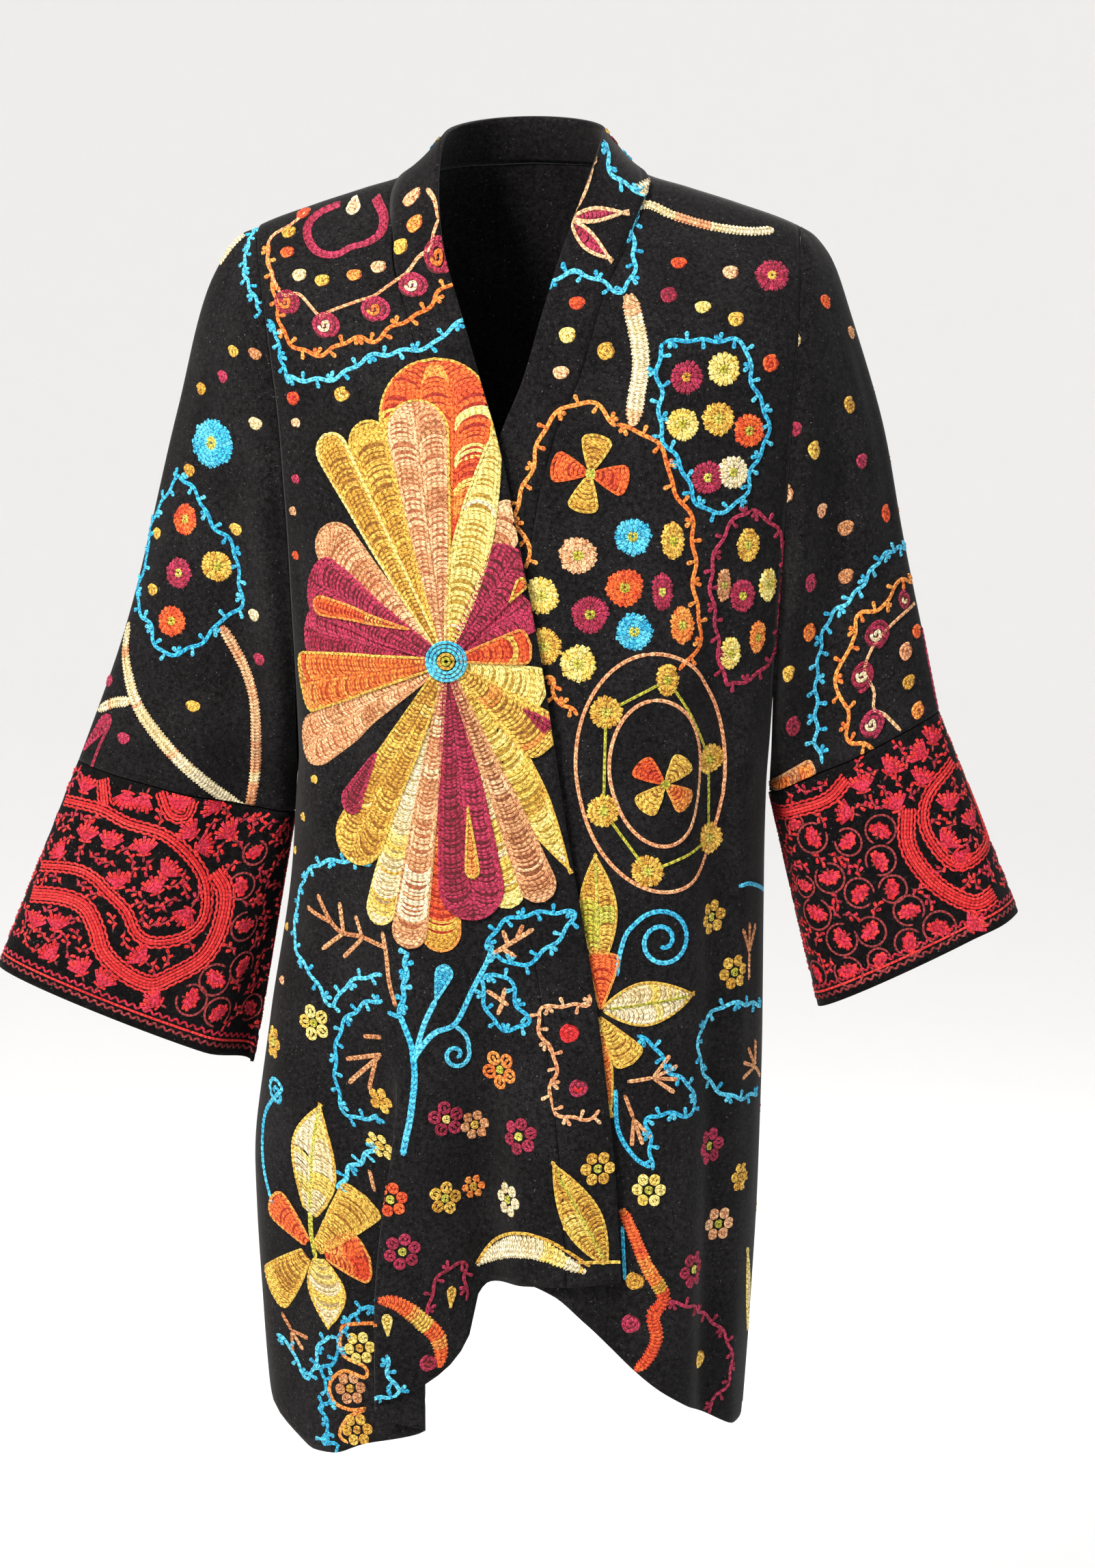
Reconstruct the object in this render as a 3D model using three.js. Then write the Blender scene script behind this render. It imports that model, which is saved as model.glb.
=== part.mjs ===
// An open-front wool jacket with wide dropped sleeves, deep flared cuffs and a band round the neck and down both
// fronts, in the hollow shape it takes when worn with the arms hanging.
// Millimetres, +Z up. The front faces -Y, and the wearer's right is at -X.
// The origin is where the wearer's shoulders carry the jacket: midway between the two neck points, on the shoulder line.
import * as THREE from 'three';

// Driving dimensions
const CLOTH = 2.0;            // one layer of embroidered wool
const HEM_CLOTH = 3.2;        // the turned hem, two layers
const BAND_CLOTH = 3.2;       // the folded band
const CUFF_CLOTH = 2.6;       // the backed cuff
const BAND_WIDTH = 40;
const BAND_PROUD = 0.5;       // how far the band stands above the front it is sewn to
const SEAM_GAP = 0.3;         // where two panels meet edge to edge
const BAND_GAP = 0.6;         // where the band's folded edge lies beside a front
const HEM_DEPTH = 14;
const WELT_EXTRA = 0.9;       // the felled seam above the cuff is this much thicker
const LAP_CLEARANCE = 7;      // the left front passes this far behind the right front
const QUARTER = 268;          // cloth round a quarter of the body, used to place folds
const OVAL_POWER = 2.4;
const NECK_HALF_WIDTH = 86;   // to the neck point, where band, front and back meet
const SHOULDER_DROP = 105;    // the shoulder rounds over within this height
const ARM_DEPTH = 58;         // half the sleeve's depth over the arm

// The body's sections. seamR and seamL are the half widths to the armhole or side seam on the wearer's right and left.
// armY is how far that seam lies in front of the side, and behind it on the back: the armhole closes at the underarm.
const BODY = [
  { z: 60, seamR: 196, seamL: 200, armY: 20, front: 34, back: 86 },
  { z: 0, seamR: 198, seamL: 202, armY: 36, front: 54, back: 88 },
  { z: -43, seamR: 198, seamL: 203, armY: 50, front: 70, back: 91 },
  { z: -80, seamR: 191, seamL: 204, armY: 60, front: 86, back: 94 },
  { z: -130, seamR: 182, seamL: 203, armY: 67, front: 104, back: 96 },
  { z: -200, seamR: 174, seamL: 199, armY: 70, front: 117, back: 95 },
  { z: -290, seamR: 170, seamL: 193, armY: 62, front: 122, back: 90 },
  { z: -370, seamR: 169, seamL: 188, armY: 46, front: 122, back: 86 },
  { z: -425, seamR: 171, seamL: 185, armY: 24, front: 121, back: 85 },
  { z: -458, seamR: 174, seamL: 183, armY: 0.4, front: 121, back: 86 },
  { z: -520, seamR: 178, seamL: 182, armY: 0, front: 121, back: 89 },
  { z: -640, seamR: 197, seamL: 182, armY: 0, front: 122, back: 96 },
  { z: -760, seamR: 211, seamL: 180, armY: 0, front: 125, back: 103 },
  { z: -870, seamR: 206, seamL: 175, armY: 0, front: 127, back: 108 },
  { z: -990, seamR: 198, seamL: 168, armY: 0, front: 129, back: 112 },
];
const UNDERARM_Z = -458;

// The shoulder line, and above it the height at which the neck's root would close.
const RIDGE = [
  { x: 0, z: 60 }, { x: 30, z: 51 }, { x: 60, z: 26 }, { x: 86, z: -3 },
  { x: 120, z: -14 }, { x: 158, z: -26 }, { x: 203, z: -43 }, { x: 226, z: -62 }, { x: 260, z: -100 },
];
// The seam that joins the band to the back, which dips towards the neck points.
const NECKLINE = [{ x: 0, z: 7 }, { x: 45, z: 5 }, { x: 70, z: 1 }, { x: 86, z: -3 }];

// The free edges of the band down each front, as X at each height.
const FRONT_EDGE = [
  { z: 10, right: -62, left: 57 },
  { z: -25, right: -61, left: 47 },
  { z: -67, right: -50, left: 32 },
  { z: -106, right: -37, left: 21 },
  { z: -150, right: -23, left: 9 },
  { z: -195, right: -9, left: -9 },
  { z: -250, right: 3, left: -22 },
  { z: -356, right: 23, left: -38 },
  { z: -470, right: 40, left: -45 },
  { z: -615, right: 64, left: -49 },
  { z: -750, right: 78, left: -50 },
  { z: -990, right: 88, left: -50 },
];

// The hems, by how far round the body from the centre front or back, in millimetres of cloth.
const HEM_RIGHT = [
  { round: -275, z: -892 }, { round: -262, z: -922 }, { round: -248, z: -950 }, { round: -225, z: -968 },
  { round: -200, z: -966 }, { round: -172, z: -952 }, { round: -140, z: -939 }, { round: -104, z: -927 },
  { round: -80, z: -913 }, { round: -62, z: -902 }, { round: -50, z: -886 }, { round: -40, z: -862 },
  { round: -32, z: -834 }, { round: -20, z: -824 }, { round: 5, z: -819 }, { round: 90, z: -816 },
];
const HEM_LEFT = [
  { round: -90, z: -812 }, { round: 10, z: -818 }, { round: 40, z: -826 }, { round: 70, z: -848 },
  { round: 110, z: -884 }, { round: 160, z: -917 }, { round: 195, z: -933 }, { round: 232, z: -949 },
  { round: 254, z: -950 }, { round: 270, z: -934 },
];
const HEM_BACK = [
  { round: -270, z: -972 }, { round: -200, z: -950 }, { round: -130, z: -890 }, { round: -70, z: -836 },
  { round: 0, z: -818 }, { round: 70, z: -832 }, { round: 130, z: -880 }, { round: 200, z: -936 },
  { round: 270, z: -956 },
];

// The side slits: the share of the quarter that each panel's edge has swung away from the side seam.
const SLIT = [
  { z: -700, frontR: 0, frontL: 0, backR: 0, backL: 0 },
  { z: -800, frontR: 0.012, frontL: 0.012, backR: 0.01, backL: 0.01 },
  { z: -870, frontR: 0.03, frontL: 0.025, backR: 0.02, backL: 0.02 },
  { z: -935, frontR: 0.12, frontL: 0.07, backR: 0.04, backL: 0.04 },
  { z: -990, frontR: 0.3, frontL: 0.12, backR: 0.07, backL: 0.06 },
];

// Folds that hang down the body. A ridge has a positive rise and a valley a negative one; slip draws the cloth back
// under itself, which makes a lapped fold. Each runs from xTop to xHem, and grows from zTop until zFull.
const FRONT_FOLDS = [
  { xTop: -86, xHem: -84, zTop: -540, zFull: -860, width: 62, rise: 9, slip: 41, lapped: true },
  { xTop: -22, xHem: -24, zTop: -520, zFull: -810, width: 46, rise: -27, slip: 0 },
  { xTop: 34, xHem: 46, zTop: -480, zFull: -850, width: 58, rise: 7, slip: 0 },
  { xTop: -160, xHem: -168, zTop: -480, zFull: -800, width: 50, rise: -9, slip: 0 },
  { xTop: 118, xHem: 112, zTop: -300, zFull: -560, width: 46, rise: 6, slip: 0 },
  { xTop: 152, xHem: 148, zTop: -250, zFull: -480, width: 30, rise: -10, slip: 0 },
  { xTop: -120, xHem: -132, zTop: -180, zFull: -420, width: 38, rise: -6, slip: 0 },
];
const BACK_FOLDS = [
  { xTop: -128, xHem: -140, zTop: -240, zFull: -700, width: 56, rise: 12, slip: 0 },
  { xTop: -70, xHem: -84, zTop: -320, zFull: -760, width: 50, rise: -15, slip: 0 },
  { xTop: -14, xHem: -18, zTop: -260, zFull: -740, width: 62, rise: 14, slip: 0 },
  { xTop: 52, xHem: 60, zTop: -300, zFull: -760, width: 52, rise: -14, slip: 0 },
  { xTop: 112, xHem: 124, zTop: -240, zFull: -700, width: 56, rise: 12, slip: 0 },
];

// The sleeves, from the armhole's top down to the cuff seam. reach is the outline's X at height out, and seam is the
// height on the armhole that is level with it along the cloth.
const SLEEVES = {
  left: {
    side: 1,
    levels: [
      { b: 0, seam: -47, out: -43, reach: 205.6 }, { b: 0.04, seam: -55, out: -48, reach: 212 },
      { b: 0.1, seam: -70, out: -66, reach: 226 }, { b: 0.2, seam: -112, out: -106, reach: 241 },
      { b: 0.4, seam: -200, out: -186, reach: 266 }, { b: 0.6, seam: -290, out: -262, reach: 281 },
      { b: 0.8, seam: -378, out: -334, reach: 297 }, { b: 1, seam: -464, out: -401, reach: 311 },
    ],
    // rows of: place round from the outline (0) to the armhole (1), on the front or back, with the height it spans
    folds: [
      { at: 0.84, face: -1, width: 0.13, rise: 9, zTop: -90, zFull: -260 },
      { at: 0.62, face: -1, width: 0.13, rise: -8, zTop: -150, zFull: -300 },
      { at: 0.8, face: 1, width: 0.15, rise: 9, zTop: -100, zFull: -280 },
      { at: 0.55, face: 1, width: 0.14, rise: -7, zTop: -160, zFull: -320 },
    ],
    cuff: { outX: 374, outZ: -553, inX: 224, inZ: -629, depth: 50, sag: -4 },
    cuffFolds: [{ at: 0.2, face: -1, width: 0.14, rise: 6 }, { at: 0.5, face: 1, width: 0.2, rise: -6 }],
  },
  right: {
    side: -1,
    levels: [
      { b: 0, seam: -47, out: -43, reach: 200.6 }, { b: 0.04, seam: -55, out: -46, reach: 209 },
      { b: 0.1, seam: -70, out: -54, reach: 218 }, { b: 0.2, seam: -112, out: -88, reach: 238 },
      { b: 0.4, seam: -200, out: -176, reach: 263 }, { b: 0.6, seam: -290, out: -262, reach: 285 },
      { b: 0.8, seam: -385, out: -352, reach: 310 }, { b: 1, seam: -484, out: -446, reach: 346 },
    ],
    folds: [
      { at: 0.86, face: -1, width: 0.12, rise: 7, zTop: -120, zFull: -300 },
      { at: 0.66, face: -1, width: 0.14, rise: -9, zTop: -160, zFull: -380 },
      { at: 0.3, face: -1, width: 0.16, rise: 3, zTop: -200, zFull: -400 },
      { at: 0.8, face: 1, width: 0.15, rise: 9, zTop: -100, zFull: -280 },
      { at: 0.5, face: 1, width: 0.16, rise: -8, zTop: -160, zFull: -320 },
    ],
    cuff: { outX: 413, outZ: -608, inX: 214, inZ: -684, depth: 50, sag: -6 },
    cuffFolds: [{ at: 0.88, face: -1, width: 0.14, rise: -20 }, { at: 0.5, face: 1, width: 0.2, rise: -7 }],
  },
};

const clamp = (v, low, high) => Math.min(high, Math.max(low, v));
const mix = (a, b, t) => a + (b - a) * t;
const smoothstep = (from, to, v) => {
  const t = clamp((v - from) / (to - from), 0, 1);
  return t * t * (3 - 2 * t);
};

// A smooth curve through one column of a table that never overshoots its rows.
function curve(rows, at, column) {
  const sorted = [...rows].sort((a, b) => a[at] - b[at]);
  const x = sorted.map((row) => row[at]);
  const y = sorted.map((row) => row[column]);
  const last = x.length - 1;
  const slope = (i) => (y[i + 1] - y[i]) / (x[i + 1] - x[i]);
  const tangent = x.map((_, i) => {
    if (i === 0) return slope(0);
    if (i === last) return slope(last - 1);
    const [before, after] = [slope(i - 1), slope(i)];
    return before * after <= 0 ? 0 : (2 * before * after) / (before + after);
  });
  return (v) => {
    if (v <= x[0]) return y[0] + tangent[0] * (v - x[0]);
    if (v >= x[last]) return y[last] + tangent[last] * (v - x[last]);
    let i = 0;
    while (v > x[i + 1]) i += 1;
    const h = x[i + 1] - x[i];
    const t = (v - x[i]) / h;
    const t2 = t * t;
    const t3 = t2 * t;
    return (2 * t3 - 3 * t2 + 1) * y[i] + (t3 - 2 * t2 + t) * h * tangent[i]
      + (3 * t2 - 2 * t3) * y[i + 1] + (t3 - t2) * h * tangent[i + 1];
  };
}

const seamX = { '-1': curve(BODY, 'z', 'seamR'), 1: curve(BODY, 'z', 'seamL') };
const armY = curve(BODY, 'z', 'armY');
const bodyDepth = { '-1': curve(BODY, 'z', 'front'), 1: curve(BODY, 'z', 'back') };
const ridge = curve(RIDGE, 'x', 'z');
const neckline = curve(NECKLINE, 'x', 'z');
const edgeX = { '-1': curve(FRONT_EDGE, 'z', 'right'), 1: curve(FRONT_EDGE, 'z', 'left') };
const hemOf = {
  right: curve(HEM_RIGHT, 'round', 'z'),
  left: curve(HEM_LEFT, 'round', 'z'),
  back: curve(HEM_BACK, 'round', 'z'),
};
const slitShare = {
  right: curve(SLIT, 'z', 'frontR'),
  left: curve(SLIT, 'z', 'frontL'),
  backRight: curve(SLIT, 'z', 'backR'),
  backLeft: curve(SLIT, 'z', 'backL'),
};
const slitAt = (name, z) => Math.max(0, z > SLIT[0].z ? 0 : slitShare[name](z));

// How far the shoulder has rounded forward at this share of its drop. Past the shoulder line it is mirrored.
function rounded(share) {
  const t = Math.min(Math.abs(share), 1);
  return Math.sign(share) * Math.sqrt(1 - (1 - t) ** 2);
}

// The oval of the body at a height, on one side and face: its half width, depth and the angle of its seam.
function ovalAt(side, face, z) {
  const depth = bodyDepth[face](z);
  const halfSeam = seamX[side](z);
  const seamY = Math.max(0, armY(z));
  const width = halfSeam / (1 - (seamY / depth) ** OVAL_POWER) ** (1 / OVAL_POWER);
  return { depth, width, end: Math.atan2(halfSeam, seamY) };
}

// A point of the smooth body, u running from -1 at the wearer's right seam to 1 at the left one.
function smoothBody(u, z, face) {
  const side = u < 0 ? -1 : 1;
  const { depth, width, end } = ovalAt(side, face, z);
  const angle = Math.abs(u) * end;
  const sin = Math.abs(Math.sin(angle));
  const cos = Math.abs(Math.cos(angle));
  const r = ((sin / width) ** OVAL_POWER + (cos / depth) ** OVAL_POWER) ** (-1 / OVAL_POWER);
  const x = r * sin;
  const y = r * Math.cos(angle) * rounded((ridge(x) - z) / SHOULDER_DROP);
  return new THREE.Vector3(side * x, face * y, z);
}

// The u that lies at this X.
function uAtX(x, z, face) {
  const side = x < 0 ? -1 : 1;
  const { depth, width, end } = ovalAt(side, face, z);
  const share = Math.min(Math.abs(x) / width, 0.999);
  const y = depth * (1 - share ** OVAL_POWER) ** (1 / OVAL_POWER);
  return (side * Math.atan2(Math.abs(x), y)) / end;
}

const LAP_PEAK = 3.494;       // makes the lapped fold's odd bump 1 at its highest
const hump = (t) => (Math.abs(t) >= 1 ? 0 : Math.cos((t * Math.PI) / 2) ** 2);
const lap = (t) => (Math.abs(t) >= 1 ? 0 : LAP_PEAK * t * (1 - t * t) ** 2);

// The body with its folds.
function bodyPoint(u, z, face, withLap = true) {
  let slip = 0;
  let rise = 0;
  for (const fold of face < 0 ? FRONT_FOLDS : BACK_FOLDS) {
    if (fold.lapped && !withLap) continue;
    const grown = smoothstep(fold.zTop, fold.zFull, z);
    if (grown === 0) continue;
    const x = mix(fold.xTop, fold.xHem, clamp((fold.zTop - z) / (fold.zTop + 960), 0, 1));
    const t = ((u - uAtX(x, z, face)) * QUARTER) / fold.width;
    rise += grown * fold.rise * (fold.lapped ? lap(t) : hump(t));
    slip -= grown * fold.slip * (fold.lapped ? lap(t) : 0);
  }
  const at = u + slip / QUARTER;
  const point = smoothBody(at, z, face);
  if (rise === 0) return point;
  const step = 1e-3;
  const along = smoothBody(at + step, z, face).sub(smoothBody(at - step, z, face));
  const out = new THREE.Vector3(along.y, -along.x, 0).normalize().multiplyScalar(-face);
  return point.addScaledVector(out, rise);
}

// The seam between a front and its band, one band's width from the free edge, and at the shoulder on the neck point.
function bandSeamX(side, z) {
  const fromEdge = edgeX[side](z) + side * BAND_WIDTH;
  return mix(fromEdge, side * NECK_HALF_WIDTH, smoothstep(-95, -4, z));
}

// The height where column a of a panel meets the shoulder line, found by going round a few times.
function topOfColumn(uOfColumn, face) {
  let z = -20;
  for (let i = 0; i < 12; i += 1) {
    const x = Math.abs(smoothBody(uOfColumn(z), z, face).x);
    z = x < NECK_HALF_WIDTH ? neckline(x) : ridge(x);
  }
  return z;
}

// A front, from its band seam (a = 0) round to the armhole and side seam (a = 1), and from the shoulder to the hem.
function frontPoint(name, a, b, extra = 0) {
  const side = name === 'right' ? -1 : 1;
  const uAt = (z) => {
    const gap = BAND_GAP / 2 + 1.4 * smoothstep(-110, -70, z);
    const from = uAtX(bandSeamX(side, z), z, -1) + (side * gap) / QUARTER;
    return mix(from, side * (1 - slitAt(name, z)), a);
  };
  const top = topOfColumn(uAt, -1);
  const bottom = hemOf[name](uAt(-900) * QUARTER);
  const z = mix(top, bottom, b);
  return lappedPoint(name, uAt(z), z, extra);
}

// A point of a front. Where the left front passes behind the right one it lies further in.
function lappedPoint(name, u, z, extra = 0) {
  const point = bodyPoint(u, z, -1, name === 'right');
  let inward = 0;
  if (name === 'left') {
    const rightEdge = edgeX[-1](z);
    const covered = smoothstep(rightEdge + 52, rightEdge + 12, u * QUARTER);
    const underLap = smoothstep(-8, -44, u * QUARTER) * smoothstep(-600, -760, z);
    inward = LAP_CLEARANCE * covered + 13 * underLap;
  }
  return point.add(new THREE.Vector3(0, inward - extra, 0));
}

function backPoint(a, b) {
  const uAt = (z) => mix(-1 + slitAt('backRight', z), 1 - slitAt('backLeft', z), a);
  const top = topOfColumn(uAt, 1);
  const bottom = hemOf.back(uAt(-900) * QUARTER);
  const z = mix(top, bottom, b);
  return bodyPoint(uAt(z), z, 1);
}

// A sleeve. a runs round from the front of the armhole (-1) over the outline (0) to its back (1), and b goes down.
function sleevePoint(name, a, b) {
  const { side, levels, folds } = SLEEVES[name];
  const [seamZ, outZ, reach] = sleeveCurves[name].map((f) => f(b));
  const face = a < 0 ? -1 : 1;
  const w = Math.abs(a);
  const seam = smoothBody(side, seamZ, face);
  const depth = ARM_DEPTH * rounded((levels[0].out + 1 - outZ) / SHOULDER_DROP);
  const turn = mix(0.25, 1, smoothstep(0.35, 1, b));
  const inward = mix(1 - Math.cos((w * Math.PI) / 2), (1 - Math.cos(w * Math.PI)) / 2, turn);
  const seamAtX = Math.abs(seam.x) + 0.5 + 1.6 * smoothstep(-90, -50, seamZ) + 2.1 * smoothstep(-360, UNDERARM_Z, seamZ);
  const seamY = Math.max(0.4, Math.abs(seam.y));
  const x = mix(reach, seamAtX, inward);
  const z = mix(outZ, seamZ, inward);
  const open = Math.sin((Math.min(w, 1) * Math.PI) / 2) ** 0.85;
  let y = mix(depth * open, seamY, smoothstep(0.45, 1, w));
  for (const fold of folds) {
    if (fold.face !== face) continue;
    y += fold.rise * hump((w - fold.at) / fold.width) * smoothstep(fold.zTop, fold.zFull, z);
  }
  return new THREE.Vector3(side * x, face * y, z);
}
const sleeveCurves = Object.fromEntries(Object.entries(SLEEVES).map(([name, { levels }]) => [
  name, ['seam', 'out', 'reach'].map((column) => curve(levels, 'b', column)),
]));

const CUFF_SEAM_SHARE = 0.006; // the cuff starts this share of its length below the sleeve
// A cuff, round in the same way as its sleeve, from the cuff seam (b = 0) to its hem (b = 1).
function cuffPoint(name, a, b) {
  const { side, cuff, cuffFolds } = SLEEVES[name];
  const face = a < 0 ? -1 : 1;
  const w = Math.abs(a);
  const top = sleevePoint(name, a, 1);
  if (w > 0.999) top.y = 0;
  const inward = (1 - Math.cos(w * Math.PI)) / 2;
  const hemX = mix(cuff.outX, cuff.inX, inward);
  const hemZ = mix(cuff.outZ, cuff.inZ, inward) - cuff.sag * Math.sin(w * Math.PI);
  let hemY = cuff.depth * Math.max(0, Math.sin(w * Math.PI)) ** 0.8;
  for (const fold of cuffFolds) {
    if (fold.face === face) hemY += fold.rise * hump((w - fold.at) / fold.width);
  }
  const bottom = new THREE.Vector3(side * hemX, face * hemY, hemZ);
  return top.lerp(bottom, mix(CUFF_SEAM_SHARE, 1, b));
}

// The band, from the hem of one front up to the shoulder. across runs from the seam (0) to the free edge (1).
const BAND_LEAVES_Z = -78;    // above this the band stands away from the body and up round the neck
function frontBandPoint(name, across, z) {
  const side = name === 'right' ? -1 : 1;
  const seamU = uAtX(bandSeamX(side, z), z, -1) - (side * (BAND_GAP / 2)) / QUARTER;
  const edgeU = uAtX(edgeX[side](z), z, -1);
  return lappedPoint(name, mix(seamU, edgeU, across), z, BAND_PROUD);
}

// Where the band's seam and free edge run from the shoulder round the back of the neck. turn goes from 0 at the
// wearer's right shoulder to 1 at the left one.
const COLLAR = { edgeHalfWidth: 59, edgeBackY: 60, sideZ: 27, backZ: 41 };
function neckBandPoint(across, turn) {
  const angle = Math.PI * turn;
  const x = -NECK_HALF_WIDTH * Math.cos(angle);
  const z = neckline(Math.abs(x)) + 1.3;
  const seam = bodyPoint(uAtX(x, z, 1), z, 1);
  seam.y = Math.max(seam.y, 0);
  const edge = new THREE.Vector3(
    -COLLAR.edgeHalfWidth * Math.cos(angle),
    COLLAR.edgeBackY * Math.sin(angle) ** 0.9,
    mix(COLLAR.sideZ, COLLAR.backZ, Math.sin(angle)),
  );
  const point = seam.lerp(edge, across);
  return point.addScaledVector(new THREE.Vector3(Math.cos(angle), -Math.sin(angle), -0.5), 3 * across * (1 - across));
}

// The stretch of each front's band between the chest and the shoulder, which bends from one form to the other.
function shoulderBandPoint(name, across, rise) {
  const side = name === 'right' ? -1 : 1;
  const low = frontBandPoint(name, across, BAND_LEAVES_Z);
  const step = 14;
  const below = frontBandPoint(name, across, BAND_LEAVES_Z - step);
  const high = neckBandPoint(across, side < 0 ? 0 : 1);
  const beyond = neckBandPoint(across, side < 0 ? 0.06 : 0.94);
  const span = low.distanceTo(high);
  const leave = low.clone().sub(below).normalize().multiplyScalar(span);
  const arrive = beyond.sub(high).normalize().multiplyScalar(span);
  const [t, t2, t3] = [rise, rise ** 2, rise ** 3];
  const point = new THREE.Vector3()
    .addScaledVector(low, 2 * t3 - 3 * t2 + 1).addScaledVector(leave, t3 - 2 * t2 + t)
    .addScaledVector(high, 3 * t2 - 2 * t3).addScaledVector(arrive, t3 - t2);
  if (across < 1e-6) {
    // the seam itself stays on the front that it is sewn to
    const z = mix(BAND_LEAVES_Z, ridge(NECK_HALF_WIDTH), rise);
    const u = uAtX(bandSeamX(side, z), z, -1) - (side * (BAND_GAP / 2)) / QUARTER;
    return lappedPoint(name, u, z, BAND_PROUD * (1 - rise));
  }
  return point;
}

// The whole of one front's band, from the shoulder (b = 0) to the hem, in rows level with those of its front.
function bandPoint(name, across, b) {
  const side = name === 'right' ? -1 : 1;
  const uHem = mix(uAtX(bandSeamX(side, -900), -900, -1), uAtX(edgeX[side](-900), -900, -1), across);
  const top = neckline(NECK_HALF_WIDTH);
  const z = mix(top, hemOf[name](uHem * QUARTER), b);
  if (z > BAND_LEAVES_Z) return shoulderBandPoint(name, across, (z - BAND_LEAVES_Z) / (top - BAND_LEAVES_Z));
  return frontBandPoint(name, across, z);
}

// A closed wall over a grid of points. at(i, j) gives the outer surface, and its thickness goes in along the normal,
// which is worked out from points a little to each side. A closed wall runs round into its own first column.
function clothWall(at, columns, rows, thickness, { closed = false, keep = (p) => p, edgeNormal = null } = {}) {
  const step = 4e-3;
  const [first, last] = [columns[0], columns[columns.length - 1]];
  const wrap = (a) => (a < -1 ? a + 2 : a > 1 ? a - 2 : a);
  const left = (a) => (closed ? wrap(a - step) : Math.max(a - step, first));
  const right = (a) => (closed ? wrap(a + step) : Math.min(a + step, last));
  const outer = [];
  const inner = [];
  for (const b of rows) {
    for (const a of columns) {
      const point = at(a, b);
      const across = at(right(a), b).sub(at(left(a), b));
      const down = at(a, Math.min(b + step, 1)).sub(at(a, Math.max(b - step, 0)));
      outer.push(keep(point.clone()));
      const turned = edgeNormal && edgeNormal(a, point);
      inner.push([point, turned || across.cross(down).normalize(), thickness(a, b)]);
    }
  }
  return { outer, inner, nColumns: columns.length, nRows: rows.length, closed, keep };
}

// Joins the wall's two faces and its edges into one closed body whose faces point out.
function wallGeometry(wall, outSign) {
  const { outer, inner, nColumns, nRows, closed, keep } = wall;
  const points = [...outer, ...inner.map(([p, n, t]) => keep(p.clone().addScaledVector(n, -outSign * t)))];
  const half = outer.length;
  const index = (i, j, face) => face * half + j * nColumns + (i % nColumns);
  const triangles = [];
  const quad = (a, b, c, d) => triangles.push([a, b, c], [a, c, d]);
  const spans = closed ? nColumns : nColumns - 1;
  for (let j = 0; j < nRows - 1; j += 1) {
    for (let i = 0; i < spans; i += 1) {
      quad(index(i, j, 0), index(i + 1, j, 0), index(i + 1, j + 1, 0), index(i, j + 1, 0));
      quad(index(i, j, 1), index(i, j + 1, 1), index(i + 1, j + 1, 1), index(i + 1, j, 1));
    }
    if (!closed) {
      const last = nColumns - 1;
      quad(index(0, j, 0), index(0, j + 1, 0), index(0, j + 1, 1), index(0, j, 1));
      quad(index(last, j, 0), index(last, j, 1), index(last, j + 1, 1), index(last, j + 1, 0));
    }
  }
  const bottom = nRows - 1;
  for (let i = 0; i < spans; i += 1) {
    quad(index(i, 0, 0), index(i, 0, 1), index(i + 1, 0, 1), index(i + 1, 0, 0));
    quad(index(i, bottom, 0), index(i + 1, bottom, 0), index(i + 1, bottom, 1), index(i, bottom, 1));
  }
  const flat = points.flatMap((p) => [p.x, p.y, p.z]);
  let volume = 0;
  for (const [a, b, c] of triangles) volume += points[a].dot(points[b].clone().cross(points[c])) / 6;
  const facesOut = volume > 0 ? triangles : triangles.map(([a, b, c]) => [a, c, b]);
  const geometry = new THREE.BufferGeometry();
  geometry.setAttribute('position', new THREE.Float32BufferAttribute(flat, 3));
  geometry.setIndex(facesOut.flat());
  geometry.computeVertexNormals();
  return geometry;
}

const evenly = (from, to, count) => Array.from({ length: count + 1 }, (_, i) => mix(from, to, i / count));

// Rows down a panel: close together where the shoulder rounds over, and two for the turned hem.
function panelRows(count, length) {
  const near = [0, 0.004, 0.012, 0.025, 0.042, 0.064, 0.09];
  const hem = 1 - HEM_DEPTH / length;
  return [...near, ...evenly(0.12, hem - 0.012, count), hem, 1];
}
const panelThickness = (a, b) => (b > 0.99 ? HEM_CLOTH : CLOTH);

// Columns of the right front: closer where the lapped fold and the valley beside it lie.
const RIGHT_COLUMNS = [0, 0.07, 0.12, 0.16, 0.195, 0.225, 0.25, 0.275, 0.3, 0.325, 0.35, 0.375, 0.4, 0.425, 0.45,
  0.475, 0.5, 0.53, 0.57, 0.63, 0.7, 0.77, 0.84, 0.91, 0.96, 1];

const wool = (colour, roughness) => new THREE.MeshStandardMaterial({ color: colour, roughness, metalness: 0 });
const materials = {
  ground: wool(0x17171a, 0.95),
  band: wool(0x1b1b1e, 0.95),
  cuff: wool(0x7d1420, 0.9),
};

const group = new THREE.Group();
function addPiece(name, geometry, material) {
  const mesh = new THREE.Mesh(geometry, material);
  mesh.name = name;
  group.add(mesh);
}

// Front and back meet at the shoulder and side seams, which lie on the plane y = 0.
const forward = (p) => p.setY(Math.min(p.y, -SEAM_GAP / 2));
const rearward = (p) => p.setY(Math.max(p.y, SEAM_GAP / 2));

addPiece('front_right', wallGeometry(clothWall(
  (a, b) => frontPoint('right', a, b), RIGHT_COLUMNS, panelRows(26, 900), panelThickness, { keep: forward },
), 1), materials.ground);
addPiece('front_left', wallGeometry(clothWall(
  (a, b) => frontPoint('left', a, b), evenly(0, 1, 18), panelRows(24, 900), panelThickness, { keep: forward },
), -1), materials.ground);
addPiece('back', wallGeometry(clothWall(
  backPoint, evenly(0, 1, 29), panelRows(19, 900), panelThickness, { keep: rearward },
), 1), materials.ground);

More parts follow.
